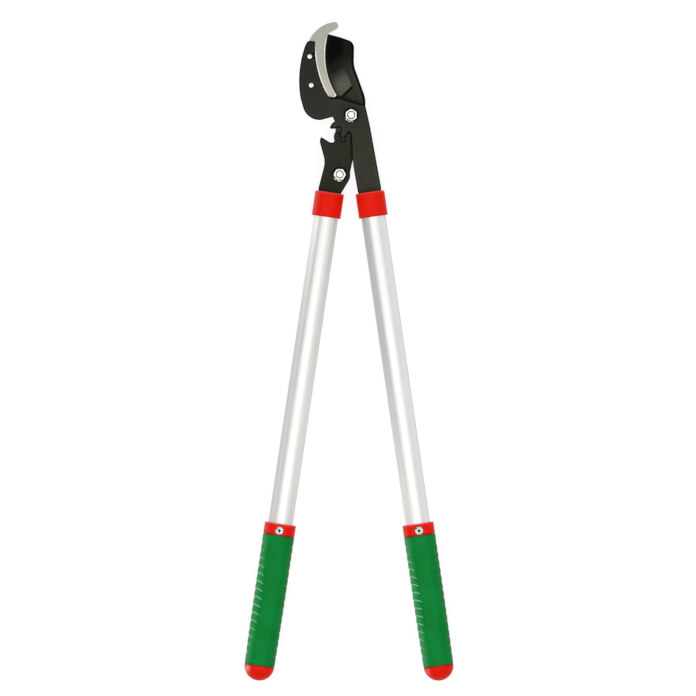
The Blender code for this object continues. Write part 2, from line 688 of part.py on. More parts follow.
def blade(body):
    """The cutting blade and its arm: hollow in front, ground to an edge behind."""
    outline = rounded(cutting_blade_outline())
    plate = flat("blade", outline, BLADE_THICKNESS, [pivot_hole((0, 0)), pivot_hole(LEVER_PIVOT)])
    piece(plate, body, "coated_steel", location=(0, 0, BLADE_FRONT - BLADE_THICKNESS / 2))
    hollow = flat("blade_hollow", rounded(hollow_outline()), BLADE_THICKNESS)
    cutter(hollow, body, location=(0, 0, BLADE_FRONT))
    wheel = rod("grinding_wheel", 2 * HOLLOW_RADIUS, -0.1, 0.1, HOLLOW_STEPS)
    wheel_place = (0, HOLLOW_MIDDLE, BLADE_FRONT - HOLLOW_DEPTH + HOLLOW_RADIUS)
    cutter(wheel, body, location=wheel_place, rotation=(0, math.radians(90), 0))
    cut(hollow, wheel, "INTERSECT")
    cut(plate, hollow)
    edge = EDGE_RADIUS + BLADE_OVERLAP
    slope = (BLADE_THICKNESS - BEVEL_LAND) / BEVEL_WIDTH
    beyond = 0.004
    ground = [
        (edge - BEVEL_WIDTH - beyond, BLADE_REAR - slope * beyond),
        (edge + beyond, BLADE_FRONT - BEVEL_LAND + slope * beyond),
        (edge + beyond, BLADE_REAR - slope * beyond),
    ]
    bevel = turned("blade_bevel", ground, BEVEL_STEPS, closed=True)
    cutter(bevel, body, location=(*EDGE_CENTRE, 0))
    limits = block("bevel_limits", (-EDGE_RADIUS, BEVEL_END, -0.03), (0, 0.13, 0.03))
    cutter(limits, body)
    cut(bevel, limits, "INTERSECT")
    cut(plate, bevel)


def gear_lever(body):
    """The toothed plate that the left handle turns."""
    holes = [pivot_hole((0, 0)), tang_pin_hole(LEVER_NECK_PLACE, -LEVER_SPLAY)]
    plate = flat("gear_lever", rounded(gear_lever_outline()), PLATE_THICKNESS, holes)
    piece(plate, body, "coated_steel")


def hexagon_bounds(name, body, low, high, turn):
    """A hexagonal bar that trims a turned blank to a nut or a bolt head."""
    corners = NUT_ACROSS_FLATS / math.cos(math.radians(30))
    return cutter(rod(name, corners, low, high, 6), body, rotation=(0, 0, turn))


def pivot_bolt(name, body, turn):
    """A hexagon bolt from behind: its head lies on the floor and its end stands out of the nut."""
    shank, head = BOLT_DIAMETER / 2, NUT_ACROSS_FLATS / math.sqrt(3)
    end = NUT_SEAT + NUT_HEIGHT + BOLT_END_ABOVE_NUT
    profile = [
        (0, end),
        (shank - HEX_CHAMFER, end),
        (shank, end - HEX_CHAMFER),
        (shank, BOLT_SEAT),
        (head, BOLT_SEAT),
        (head, -REST_DEPTH + HEX_CHAMFER / 2),
        (head - HEX_CHAMFER, -REST_DEPTH),
        (0, -REST_DEPTH),
    ]
    bolt = piece(turned(name, profile, PIN_STEPS), body, "zinc")
    bounds = hexagon_bounds(name + "_hexagon", body, -REST_DEPTH - 0.001, end + 0.001, turn)
    cut(bolt, bounds, "INTERSECT")


def pivot_nut(name, body, turn):
    """A hexagon nut, chamfered round its front."""
    bore, corner = BOLT_DIAMETER / 2 + BORE_GAP, NUT_ACROSS_FLATS / math.sqrt(3)
    top = NUT_SEAT + NUT_HEIGHT
    profile = [
        (bore, top),
        (corner - HEX_CHAMFER, top),
        (corner, top - HEX_CHAMFER / 2),
        (corner, NUT_SEAT),
        (bore, NUT_SEAT),
    ]
    nut = piece(turned(name, profile, PIN_STEPS, closed=True), body, "zinc")
    bounds = hexagon_bounds(name + "_hexagon", body, NUT_SEAT - 0.001, top + 0.001, turn)
    cut(nut, bounds, "INTERSECT")


def washer(name, body, top):
    bore, rim = BOLT_DIAMETER / 2 + BORE_GAP, WASHER_DIAMETER / 2
    profile = [(bore, top), (rim, top), (rim, top - WASHER_THICKNESS), (bore, top - WASHER_THICKNESS)]
    piece(turned(name, profile, PIN_STEPS, closed=True), body, "zinc")


def pivot_fasteners(name, body, turn):
    """Bolt, nut and two washers of one pivot, with the hexagons turned by an angle."""
    pivot_bolt(name + "_bolt", body, turn)
    pivot_nut(name + "_nut", body, turn)
    washer(name + "_front_washer", body, FRONT_WASHER + WASHER_THICKNESS)
    washer(name + "_back_washer", body, BACK_WASHER)


# Pieces of a handle. Local Z runs up the handle and local -Y faces the front.


def across(name, diameter, low, high, frame, height):
    """A round cutter through a handle from front to back."""
    tool = rod(name, diameter, low, high)
    return cutter(tool, frame, location=(0, 0, height), rotation=(math.radians(90), 0, 0))


def plate_slot(name, width, low, high, frame):
    """A cutter as wide and thick as a plate and its clearance."""
    half_width, half_depth = width / 2 + BORE_GAP, PLATE_THICKNESS / 2 + BORE_GAP
    tool = block(name, (-half_width, -half_depth, low), (half_width, half_depth, high))
    return cutter(tool, frame)


def ferrule(side, frame):
    """The red cap over the tube's end, slotted for the plate's neck."""
    bore = TUBE_DIAMETER / 2 + BORE_GAP
    rim = bore + FERRULE_WALL
    profile = [
        (0, 0),
        (rim - FERRULE_ROUND, 0),
        (rim - 0.3 * FERRULE_ROUND, -0.3 * FERRULE_ROUND),
        (rim, -FERRULE_ROUND),
        (rim, -FERRULE_LENGTH),
        (bore, -FERRULE_LENGTH),
        (bore, -FERRULE_TOP_WALL),
        (0, -FERRULE_TOP_WALL),
    ]
    cap = piece(turned(side + "_ferrule", profile), frame, "red_plastic")
    cut(cap, plate_slot(side + "_ferrule_slot", NECK_WIDTH, -0.005, 0.001, frame))


def tang_bush(side, frame):
    """The bush that packs the flat tang inside the round tube."""
    radius = TUBE_DIAMETER / 2 - TUBE_WALL - BORE_GAP
    bush = rod(side + "_tang_bush", 2 * radius, TUBE_TOP - BUSH_LENGTH, TUBE_TOP, TURNED_STEPS)
    piece(bush, frame, "nylon")
    bottom = TUBE_TOP - BUSH_LENGTH - 0.001
    cut(bush, plate_slot(side + "_tang_slot", TANG_WIDTH, bottom, TUBE_TOP + 0.001, frame))
    bore = TANG_PIN_DIAMETER + 2 * BORE_GAP
    reach = radius + 0.001
    cut(bush, across(side + "_bush_pin_hole", bore, -reach, reach, frame, -TANG_PIN_DROP))


def tang_pin(side, frame):
    """The cross pin through tube, bush and tang, covered by the ferrule."""
    half = TUBE_DIAMETER / 2 - 2 * BORE_GAP
    pin = rod(side + "_tang_pin", TANG_PIN_DIAMETER, -half, half)
    piece(pin, frame, "dark_steel", location=(0, 0, -TANG_PIN_DROP))
    pin.rotation_euler = (math.radians(90), 0, 0)


def tube(side, frame):
    """The handle's aluminium tube, with holes for the tang pin and the grip screw."""
    outer = TUBE_DIAMETER / 2
    inner = outer - TUBE_WALL
    profile = [(inner, TUBE_TOP), (outer, TUBE_TOP), (outer, TUBE_END), (inner, TUBE_END)]
    shell = piece(turned(side + "_tube", profile, closed=True), frame, "aluminium")
    bore = TANG_PIN_DIAMETER + 2 * BORE_GAP
    reach = outer + 0.001
    cut(shell, across(side + "_tube_pin_hole", bore, -reach, reach, frame, -TANG_PIN_DROP))
    cut(shell, screw_hole(side + "_tube_screw_hole", frame))


def screw_hole(name, frame):
    bore = SCREW_DIAMETER + 2 * BORE_GAP
    low, high = REST_DEPTH - SCREW_LENGTH, REST_DEPTH + 0.001
    return across(name, bore, low, high, frame, -GRIP_DROP - SCREW_DROP)


def grip_core(side, frame):
    """The red moulding over the tube: collar, thin barrel under the sleeve, and domed end."""
    spokes = [turned_point((GRIP_END_RADIUS, 0), -math.radians(15) * i) for i in range(6)]
    dome = [(radius, DOME_SHOULDER + drop) for radius, drop in spokes]
    profile = [
        (0, TUBE_END - SEAT_GAP),
        (GRIP_BORE, TUBE_END - SEAT_GAP),
        (GRIP_BORE, -GRIP_DROP),
        (GRIP_RADIUS - COLLAR_ROUND, -GRIP_DROP),
        (GRIP_RADIUS, -GRIP_DROP - COLLAR_ROUND),
        (GRIP_RADIUS, SLEEVE_TOP + SEAT_GAP),
        (BARREL_RADIUS, SLEEVE_TOP + SEAT_GAP),
        (BARREL_RADIUS, DOME_SHOULDER),
        *dome,
        (0, DOME_SHOULDER - GRIP_END_RADIUS),
    ]
    core = piece(turned(side + "_grip_core", profile), frame, "red_plastic")
    wide = GRIP_RADIUS + 0.005
    low = (-wide, -REST_DEPTH, -GRIP_DROP - GRIP_LENGTH - 0.01)
    high = (wide, REST_DEPTH, -GRIP_DROP + 0.01)
    cut(core, cutter(block(side + "_grip_flats", low, high), frame), "INTERSECT")
    cut(core, screw_hole(side + "_core_screw_hole", frame))


def groove_depth(angle, drop):
    """How deep the grip's grooves are there. They lie on both sides and their ends hook down."""
    from_side = min(abs(math.remainder(angle - side, 2 * math.pi)) for side in (0, math.pi))
    reach = from_side / RIB_REACH
    if reach >= 1:
        return 0.0
    down = drop - RIB_FIRST - RIB_DROOP * reach**2
    nearest = min(max(round(down / RIB_PITCH), 0), RIB_COUNT - 1)
    off = abs(down - nearest * RIB_PITCH) / (RIB_WIDTH / 2)
    if off >= 1:
        return 0.0
    return RIB_DEPTH * (1 - off**2) * min(1.0, 3 * (1 - reach))


def sleeve_point(angle, drop):
    """A point of the sleeve's outside: a tapering round, flat in front and behind, less grooves."""
    length = SLEEVE_TOP - SLEEVE_END
    radius = GRIP_RADIUS - (GRIP_RADIUS - GRIP_END_RADIUS) * (drop / length) ** 2
    radius -= groove_depth(angle, drop)
    x, y = radius * math.cos(angle), radius * math.sin(angle)
    return x, min(max(y, -REST_DEPTH), REST_DEPTH), SLEEVE_TOP - drop


def sleeve_drops():
    """Heights of the sleeve's sections: the ends, and three in each pitch of the grooves."""
    length = SLEEVE_TOP - SLEEVE_END
    third = RIB_PITCH / 3
    start = RIB_FIRST - RIB_PITCH / 3
    count = math.ceil(3 * RIB_COUNT + 2)
    inner = [start + third * i for i in range(count)]
    return [0.0, *[drop for drop in inner if 0 < drop < length - 0.001], length]


def grip_sleeve(side, frame):
    """The green sleeve, lofted because its grooves stop short of the front and the back."""
    work = bmesh.new()
    angles = [2 * math.pi * i / TURNED_STEPS for i in range(TURNED_STEPS)]
    bore = BARREL_RADIUS + BORE_GAP
    drops = sleeve_drops()
    rings = [[sleeve_point(a, drop) for a in angles] for drop in drops]
    ends = (SLEEVE_END, SLEEVE_TOP)
    inside = [[(bore * math.cos(a), bore * math.sin(a), z) for a in angles] for z in ends]
    sections = [[work.verts.new(point) for point in ring] for ring in rings + inside]
    for i, ring in enumerate(sections):
        onward = sections[(i + 1) % len(sections)]
        for k in range(TURNED_STEPS):
            after = (k + 1) % TURNED_STEPS
            work.faces.new((ring[after], ring[k], onward[k], onward[after]))
    bmesh.ops.recalc_face_normals(work, faces=work.faces)
    mesh = bpy.data.meshes.new(side + "_grip_sleeve")
    work.to_mesh(mesh)
    work.free()
    piece(bpy.data.objects.new(mesh.name, smoothed(mesh)), frame, "green_rubber")


def grip_screw(side, frame):
    """The pan-head screw in the front of the collar, with a cross recess."""
    rim, shank = SCREW_HEAD_DIAMETER / 2, SCREW_DIAMETER / 2
    seat = REST_DEPTH + SEAT_GAP
    top = seat + SCREW_HEAD_HEIGHT
    profile = [
        (0, top),
        (0.55 * rim, top),
        (0.85 * rim, top - 0.2 * SCREW_HEAD_HEIGHT),
        (rim, top - 0.6 * SCREW_HEAD_HEIGHT),
        (rim, seat),
        (shank, seat),
        (shank, seat - SCREW_LENGTH + shank),
        (0, seat - SCREW_LENGTH),
    ]
    place = (0, 0, -GRIP_DROP - SCREW_DROP)
    screw_frame = empty(side + "_screw_axis", frame, place, (math.radians(90), 0, 0))
    screw = piece(turned(side + "_grip_screw", profile, PIN_STEPS), screw_frame, "zinc")
    slots = {"_recess_across": (RECESS_WIDTH, RECESS_SLOT), "_recess_along": (RECESS_SLOT, RECESS_WIDTH)}
    for name, (width, height) in slots.items():
        low = (-width / 2, -height / 2, top - RECESS_DEPTH)
        high = (width / 2, height / 2, top + 0.001)
        cut(screw, cutter(block(side + name, low, high), screw_frame))


def handle(side, body, place, splay):
    """One handle, on a frame whose Z axis runs up the tube to the ferrule's top."""
    frame = empty(side + "_handle", body, (*place, 0), (math.radians(-90), 0, splay))
    ferrule(side, frame)
    tang_bush(side, frame)
    tang_pin(side, frame)
    tube(side, frame)
    grip_core(side, frame)
    grip_sleeve(side, frame)
    grip_screw(side, frame)


def build():
    """The fixed hook side, the blade on the main pivot, and the gear lever on the blade's arm."""
    hook_side = empty("hook_side", None, main_pivot_place())
    hook_plate(hook_side)
    counter_blade(hook_side)
    rivet("counter_blade_rivet_upper", hook_side, UPPER_RIVET)
    rivet("counter_blade_rivet_lower", hook_side, LOWER_RIVET)
    pivot_fasteners("main_pivot", hook_side, math.radians(30))
    handle("right", hook_side, HOOK_NECK_PLACE, HOOK_SPLAY)
    blade_side = empty("blade_side", hook_side, (0, 0, 0))
    blade(blade_side)
    lever_side = empty("lever_side", blade_side, (*LEVER_PIVOT, 0))
    gear_lever(lever_side)
    pivot_fasteners("lever_pivot", lever_side, 0)
    handle("left", lever_side, LEVER_NECK_PLACE, -LEVER_SPLAY)


for old in list(bpy.data.objects):
    bpy.data.objects.remove(old)
PARTS = collection("geared_lopper")
CUTTERS = collection("cutters")
build()
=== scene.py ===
"""Looks of a geared bypass lopper lying on its back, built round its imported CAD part.

Every piece is a surface worked out with numpy, in metres, in the part's own frame: the handles run
towards -Y, the jaws towards +Y and the front faces +Z.
"""

import math

import bmesh
import bpy
import numpy as np
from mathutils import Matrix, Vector
from mathutils.geometry import delaunay_2d_cdt


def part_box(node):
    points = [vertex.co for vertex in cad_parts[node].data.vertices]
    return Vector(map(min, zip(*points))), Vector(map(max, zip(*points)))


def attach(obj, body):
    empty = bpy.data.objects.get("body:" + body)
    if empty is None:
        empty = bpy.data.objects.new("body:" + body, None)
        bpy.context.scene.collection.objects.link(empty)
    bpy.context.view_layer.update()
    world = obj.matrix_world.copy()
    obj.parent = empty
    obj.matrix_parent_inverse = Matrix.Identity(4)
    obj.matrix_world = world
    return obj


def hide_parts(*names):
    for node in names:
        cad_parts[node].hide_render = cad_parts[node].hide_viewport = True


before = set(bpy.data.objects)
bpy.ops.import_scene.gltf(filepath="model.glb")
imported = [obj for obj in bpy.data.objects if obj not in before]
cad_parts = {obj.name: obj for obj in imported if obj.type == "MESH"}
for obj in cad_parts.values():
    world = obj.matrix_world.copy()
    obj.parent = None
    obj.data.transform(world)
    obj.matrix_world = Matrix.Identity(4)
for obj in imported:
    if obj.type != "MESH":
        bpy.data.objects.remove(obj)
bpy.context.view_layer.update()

MM = 0.001
TURN = 2 * math.pi

# Sizes of the head. Places are from the main pivot unless a comment says otherwise.
SEAT_GAP = 0.0003
BORE_GAP = 0.0002
PIVOT_SPACING = 0.0690
PIVOT_LEAN = math.radians(10.95)
BOLT_RADIUS = 0.00395
THREAD_PITCH = 0.00125
THREAD_DEPTH = 0.00045
NUT_ACROSS_FLATS = 0.0130
CONE_START = 0.96
CONE_SLOPE = math.radians(30)
NUT_COUNTERSINK = 0.0006
BRIGHT_RING = 0.0013
BOLT_END_CHAMFER = 0.0005
HOOK_TEETH = 10
LEVER_TEETH = 20
PRESSURE_ANGLE = math.radians(22)
HOOK_ADDENDUM = 0.0054
LEVER_ADDENDUM = 0.0024
HOOK_ROOT_CLEARANCE = 0.0014
LEVER_ROOT_CLEARANCE = 0.0030
HOOK_TOOTH_THICKNESS = 0.0073
BACKLASH = 0.0010
DRIVE_GAP = 0.0002
MESH_ARC = 0.0046
TOOTH_TIP_ROUND = 0.0010
TOOTH_ROOT_ROUND = 0.0016
EDGE_LEFT = -0.0298
EDGE_HEIGHT = 0.0686
EDGE_RADIUS = 0.0870
EDGE_HEEL = (-0.0163, 0.0222)
EDGE_TOE_HEIGHT = 0.0929
HOOK_CENTRE = (-0.0133, 0.0681)
HOOK_RADIUS = 0.0388
HOOK_TOE_ANGLE = math.radians(99.9)
HOOK_BACK_ANGLE = math.radians(152)
HOOK_TOE_ROUND = 0.0046
COUNTER_INSET = 0.0030
COUNTER_FOOT_HEIGHT = 0.0225
COUNTER_FOOT_RIGHT = (-0.0240, 0.0170)
RIVET_RADIUS = 0.0027
RIVET_CROWN = 0.0005
RIVET_PLACES = {"upper": (-0.0475, 0.0669), "lower": (-0.0456, 0.0341)}
JAW_EDGE_LEFT = -0.0414
JAW_EDGE_HEIGHT = 0.0773
JAW_EDGE_RADIUS = 0.1120
JAW_TOP = 0.0842
JAW_TOP_LEFT = (-0.0495, 0.0848)
JAW_BACK_LEFT = -0.0594
JAW_BACK_HEIGHT = 0.0390
JAW_BACK_RADIUS = 0.1200
JAW_BACK_END = 0.0190
JAW_HEEL = (-0.0360, 0.0140)
JAW_HEEL_RADIUS = 0.0195
HEEL_CORNER = (-0.0210, -0.0018)
HEEL_NOTCH_LIFT = 0.0012
HEEL_NOTCH_ANGLE = math.radians(13.5)
JAW_SOCKET = (-0.0252, 0.0205)
SHOULDER_LEFT = (-0.0125, 0.0207)
SHOULDER_RIGHT = (0.0160, 0.0112)
ARM_GAP = 0.0014
ARM_TOP = -0.0240
ARM_WAIST = (0.0032, -0.0560)
ARM_RIGHT = (0.0213, -0.0120)
ARM_LEFT = 0.0120  # from the lever pivot, as are the next ten
LEVER_RIGHT = 0.0128
LEVER_RIGHT_END = 0.0150
LEVER_RIGHT_WAIST = (0.0118, 0.0104)
LEVER_HIP_RIGHT = (0.0119, -0.0042)
HORN_ROOT_ANGLE = math.radians(-6.0)
HORN_TIP_ANGLE = math.radians(4.2)
HORN_BACK_ANGLE = math.radians(9.0)
HORN_TIP_DROP = 0.0003
HORN_BACK_DROP = 0.0040
LEVER_WAIST_LEFT = (-0.0165, 0.0145)
BLADE_OVERLAP = 0.0040
BLADE_TOP_SLOPE = 0.260
BLADE_TOP_CREST = (-0.0120, 0.0888)
BLADE_TOP_RIGHT = (0.0033, 0.0831)
BLADE_BACK = (0.0029, 0.0565)
BLADE_SHOULDER = (0.0164, 0.0190)
BLADE_BOSS = (0.0160, 0.0060)
BLADE_ARM_RIGHT = (0.0080, -0.0230)
BLADE_ARM_LEFT = (-0.0178, -0.0169)
BLADE_HEEL = (-0.0208, 0.0120)
BLADE_END_RADIUS = 0.0106
BEVEL_WIDTH = 0.0095
BEVEL_LAND = 0.0006
BEVEL_END = 0.0230
HOLLOW_DEPTH = 0.0020
HOLLOW_RADIUS = 0.3500
HOLLOW_MIDDLE = 0.0620
HOLLOW_RIGHT_TOP = (-0.0082, 0.1000)
HOLLOW_RIGHT_BEND = (-0.0086, 0.0590)
HOLLOW_CORNER = (0.0021, 0.0309)
HOLLOW_FOOT = (-0.0091, 0.0199)
HOLLOW_WALL = 0.0035
EDGE_BAND = 0.0030
PLATE_RIM = 0.0007
COUNTER_RIM = 0.0004
BLADE_RIM = 0.0006
FACING_MIDDLE = -0.0060
FACING_WIDTH = 0.0130
FACING_TOP = -0.0120
FACING_END = -0.0620
GROUND_BAND = 0.0014
JAW_BAND = 0.0017
FOOT_BAND = 0.0016

# Sizes of the handles. Heights are from the ferrule's top, up the handle.
HOOK_SPLAY = math.radians(8.25)
LEVER_SPLAY = math.radians(8.45)
HOOK_HANDLE_OFFSET = 0.0084
HOOK_NECK = 0.0898
LEVER_HANDLE_OFFSET = 0.0083
LEVER_NECK = 0.0216
TUBE_RADIUS = 0.0140
TUBE_WALL = 0.0015
ARM_WIDTH = 0.0270
NECK_BEVEL = 0.0018
NECK_WIDTH = 0.0254
TANG_WIDTH = 0.0210
TANG_LENGTH = 0.0560
TANG_PIN_RADIUS = 0.0025
TANG_PIN_DROP = 0.0155
FERRULE_WALL = 0.0024
FERRULE_LENGTH = 0.0284
FERRULE_TOP_WALL = 0.0030
FERRULE_ROUND = 0.0018
GRIP_DROP = 0.3819
GRIP_LENGTH = 0.18075
CORE_WALL = 0.0014
COLLAR_LIP = 0.0008
SLEEVE_WALL = 0.0021
GRIP_TAPER = 0.00083
FLAT_EASE = 0.00025
COLLAR_LENGTH = 0.0125
RIB_COUNT = 15
RIB_PITCH = 0.0090
RIB_FIRST = 0.0110
RIB_WIDTH = 0.0044
RIB_DEPTH = 0.0009
RIB_DROOP = 0.0034
RIB_REACH = (math.radians(27), math.radians(63))
SCREW_DROP = 0.0079
SCREW_HEAD_RADIUS = 0.0047
SCREW_RADIUS = 0.0020
RECESS_WIDTH = 0.0048
RECESS_SLOT = 0.0012
RECESS_DEPTH = 0.0016

GRIP_BORE = TUBE_RADIUS + BORE_GAP
BARREL_RADIUS = GRIP_BORE + CORE_WALL
GRIP_RADIUS = BARREL_RADIUS + BORE_GAP + SLEEVE_WALL
GRIP_END_RADIUS = GRIP_RADIUS - GRIP_TAPER
DOME_SHOULDER = -GRIP_DROP - GRIP_LENGTH + GRIP_END_RADIUS
TUBE_TOP = -FERRULE_TOP_WALL - SEAT_GAP
TUBE_END = SLEEVE_END = DOME_SHOULDER + SEAT_GAP
SLEEVE_TOP = -GRIP_DROP - COLLAR_LENGTH - COLLAR_LIP - SEAT_GAP

# Looks
PLATED_FAR = 0.002  # the edge attribute far from an edge, on plated pieces
MOULDED_FAR = 0.01  # and on mouldings
LIT_CRESCENT_ANGLE = math.radians(246)  # the side of the washers and nuts with painted light in place of painted shade
SHADE_SPOTS = {"main": (239, 266), "lever": (243,)}  # in degrees: spots of painted shade in the washers' painted lit crescent
FASTENER_SHADOW_WIDTH = 0.0011  # of the painted shadow round the fasteners on the plates
# The painted shadow round the grip screws: its width and its gap from their heads
SCREW_SHADOW_WIDTH = 0.0007
SCREW_SHADOW_GAP = 0.0003
SCREW_SHADE_ANGLE = math.radians(146)  # where the grip screws' heads have a painted wedge of shade
SHEEN = (0.60, 1.28)  # the least and most of the tubes' brightness, painted light and shade
SHINE = {"left": (0.22, 1.00, 0.16), "right": (0.02, 0.34, 0.20)}  # how much painted highlight a ferrule, a dome and a sleeve have on their left
WHITE = (1, 1, 1, 1)
# Near black, for painted shade and painted shadows
PAINTED_SHADE_BLACK = (0.0012, 0.0012, 0.0008, 1)

# The studio and the camera
MATT_WHITE = (0.80, 0.80, 0.80, 1)
FLOOR_GLOW = 1.12
FLOOR_SEEN = 0.78  # how much of what is seen of the floor is its glow
FLOOR_DROP = 0.0001
FLOOR_POLE = 0.00001
FLOOR_RING = 2.0
FLOOR_RADIUS = 9.0
FLOOR_CURVE = 3.0
FLOOR_WALL = 8.0
SOFT_BOXES = (  # name, place, size, radiance
    ("overhead_box", (0.0, -0.15, 1.45), (2.30, 1.20), 1.22),
    ("left_strip", (-2.20, -0.10, 0.22), (2.6, 0.45), 0.8),
)
SKY = 0.72
LENS = 600
SENSOR = 36
CLIP_END = 100
VIEW_MIDDLE = (-0.0011, 0.0038)
VIEW_WIDTH = 0.7934  # at the height of the plates

# How finely the surfaces are worked out, and how close points are welded
WELD = 2e-6
OUTLINE_STEP = 0.0005
ARC_STEP = 0.0060
ARC_TURN = math.radians(15)
CONE_ROWS = 10
THREAD_ROWS = 44
SHOULDER_ROWS = 8
TUBE_ROWS = 60
DOME_ROWS = 20
SLEEVE_ROWS = 420
SCREW_ROWS = 48
FLOOR_ROWS = 16
FILLET_STEPS = 10
FLANK_STEPS = 4
EDGE_STEPS = 10
RIM_STEPS = 4
FACE_STEP = 0.0020
TURN_STEPS = 96
FINE_STEPS = 144
SLEEVE_STEPS = 160
FERRULE_STEPS = 120
COARSE_STEPS = 64
RIVET_STEPS = 48


def low(node):
    """A CAD node's lowest corner."""
    return np.array(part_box(node)[0])


def high(node):
    """A CAD node's highest corner."""
    return np.array(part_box(node)[1])


def middle(node):
    """The middle of a CAD node's box."""
    return (low(node) + high(node)) / 2


def front_of(node):
    """The height of a CAD node's front."""
    return high(node)[2]


def back_of(node):
    """The height of a CAD node's back."""
    return low(node)[2]


MAIN_PIVOT = middle("main_pivot_nut")[:2]
LEVER_PIVOT = middle("lever_pivot_nut")[:2] - MAIN_PIVOT
AXIS_HEIGHT = middle("hook_plate")[2]


# Arrays of points


def unit(vectors):
    """Vectors divided by their lengths."""
    return vectors / np.maximum(np.linalg.norm(vectors, axis=-1, keepdims=True), 1e-12)


def turned(points, angle):
    """Plan points turned anticlockwise: x cos a - y sin a, x sin a + y cos a."""
    c, s = math.cos(angle), math.sin(angle)
    return np.asarray(points) @ np.array([[c, s], [-s, c]])


def smooth_step(value):
    """0 below 0, 1 above 1, and 3v^2 - 2v^3 in between."""
    v = np.clip(value, 0, 1)
    return v * v * (3 - 2 * v)


def bell(value, power=2):
    """1 at 0 and falling to 0 on both sides: e^-(v^p)."""
    return np.exp(-(value**power))


def rays(angles):
    """Unit plan vectors: (cos a, sin a)."""
    return np.stack([np.cos(angles), np.sin(angles)], 1)


def away(points, place):
    """Distance from each point to a place in plan."""
    return np.linalg.norm(points[:, :2] - np.array(place), axis=1)


def corners(*rows):
    """Outline rows (x, y, fillet radius), each left by a straight edge."""
    made = np.zeros((len(rows), 6))
    made[:, :3] = rows
    return made


def arc(centre, radius, start, end):
    """Outline rows on a circle, centre + radius (cos a, sin a), whose edges follow it."""
    span = abs(end - start)
    steps = max(2, math.ceil(max(span / ARC_TURN, span * radius / ARC_STEP)))
    angles = np.linspace(start, end, steps + 1)
    made = np.zeros((steps + 1, 6))
    made[:, 0] = centre[0] + radius * np.cos(angles)
    made[:, 1] = centre[1] + radius * np.sin(angles)
    made[:-1, 3:] = (*centre, radius)
    return made


def left_arc(centre, radius, start_height, end_height):
    """Outline rows on the left side of a circle, between two heights."""
    start, end = (math.pi - math.asin((h - centre[1]) / radius) for h in (start_height, end_height))
    return arc(centre, radius, start, end)


def outline(*parts):
    """A closed outline as evenly spaced points.

    A corner's fillet is centre + spoke turned by k/n of the bend, with the centre on the bisector at
    r / sin(half angle). An edge is a straight line, pushed out to its circle where it has one.
    """
    rows = np.concatenate(parts)
    here = rows[:, :2]
    to_before, to_after = np.roll(here, 1, 0) - here, np.roll(here, -1, 0) - here
    before, after = unit(to_before), unit(to_after)
    half = np.arccos(np.clip((before * after).sum(1), -1, 1)) / 2
    radius = np.where(math.pi - 2 * half > math.radians(2), rows[:, 2], 0)
    lengths = [0.49 * np.linalg.norm(side, axis=1) for side in (to_before, to_after)]
    reach = np.minimum(radius / np.tan(half), np.minimum(*lengths))
    centre = here + unit(before + after) * (reach * np.tan(half) / np.sin(half))[:, None]
    spoke = here + before * reach[:, None] - centre
    last = here + after * reach[:, None] - centre
    bend = np.arctan2(spoke[:, 0] * last[:, 1] - spoke[:, 1] * last[:, 0], (spoke * last).sum(1))
    angle = bend[:, None] * np.linspace(0, 1, FILLET_STEPS + 1)
    c, s = np.cos(angle), np.sin(angle)
    x, y = spoke[:, :1], spoke[:, 1:]
    fillets = centre[:, None] + np.stack([x * c - y * s, x * s + y * c], -1)
    share = np.linspace(0, 1, EDGE_STEPS + 2)[1:-1, None]
    edges = fillets[:, -1:] * (1 - share) + np.roll(fillets[:, :1], -1, 0) * share
    from_centre = edges - rows[:, None, 3:5]
    round_edges = rows[:, None, 3:5] + unit(from_centre) * rows[:, None, 5:]
    edges = np.where(rows[:, None, 5:] > 0, round_edges, edges)
    points = np.concatenate([fillets, edges], 1).reshape(-1, 2)
    closed = np.concatenate([points, points[:1]])
    along = np.concatenate([[0], np.cumsum(np.linalg.norm(np.diff(closed, axis=0), axis=1))])
    even = np.linspace(0, along[-1], int(along[-1] / OUTLINE_STEP), endpoint=False)
    points = np.stack([np.interp(even, along, closed[:, 0]), np.interp(even, along, closed[:, 1])], 1)
    return softened(softened(points))


def softened(points):
    """Each point of a closed outline moved to (before + 2 here + after) / 4."""
    return (np.roll(points, 1, 0) + 2 * points + np.roll(points, -1, 0)) / 4


def outward(points):
    """Unit normals of a closed outline, to the right of its direction."""
    along = unit(np.roll(points, -1, 0) - np.roll(points, 1, 0))
    return np.stack([along[:, 1], -along[:, 0]], 1)


def grown(points, distance):
    """A closed outline moved outwards along its normals."""
    return points + outward(points) * distance


def hole(place, radius):
    """A round hole, run clockwise so that its normals point out of the metal."""
    return np.asarray(place) + radius * rays(np.linspace(TURN, 0, COARSE_STEPS, endpoint=False))


def bolt_hole(place):
    """The hole for a pivot bolt."""
    return hole(place, BOLT_RADIUS + BORE_GAP)


def pin_hole(neck, splay):
    """The hole for the pin through an arm's tang."""
    return hole(turned((0, -TANG_PIN_DROP), splay) + neck, TANG_PIN_RADIUS + BORE_GAP)


def crossings(points, loops):
    """True inside the loops: a ray to the right crosses them an odd number of times."""
    start = np.concatenate(loops)
    end = np.concatenate([np.roll(loop, -1, 0) for loop in loops])
    x, y = points[:, :1], points[:, 1:]
    spans = (start[:, 1] > y) != (end[:, 1] > y)
    rise = end[:, 1] - start[:, 1]
    slope = (end[:, 0] - start[:, 0]) / np.where(rise == 0, 1, rise)
    crossing = start[:, 0] + (y - start[:, 1]) * slope
    return (spans & (crossing > x)).sum(1) % 2 == 1


def distance_to(points, loops):
    """Distance from each point to the nearest point of the loops."""
    places = np.concatenate(loops)
    squares = ((points[:, None] - places[None]) ** 2).sum(2)
    return np.sqrt(squares.min(1))


def inner_distance(points, loop):
    """Signed distance to a closed outline, positive inside."""
    distance = distance_to(points, [loop])
    return np.where(crossings(points, [loop]), distance, -distance)


# Meshes


def grid_quads(index):
    """Quads between neighbouring rows and columns of an array of vertex numbers."""
    quads = np.stack([index[:-1, :-1], index[1:, :-1], index[1:, 1:], index[:-1, 1:]], -1)
    return quads.reshape(-1, 4)


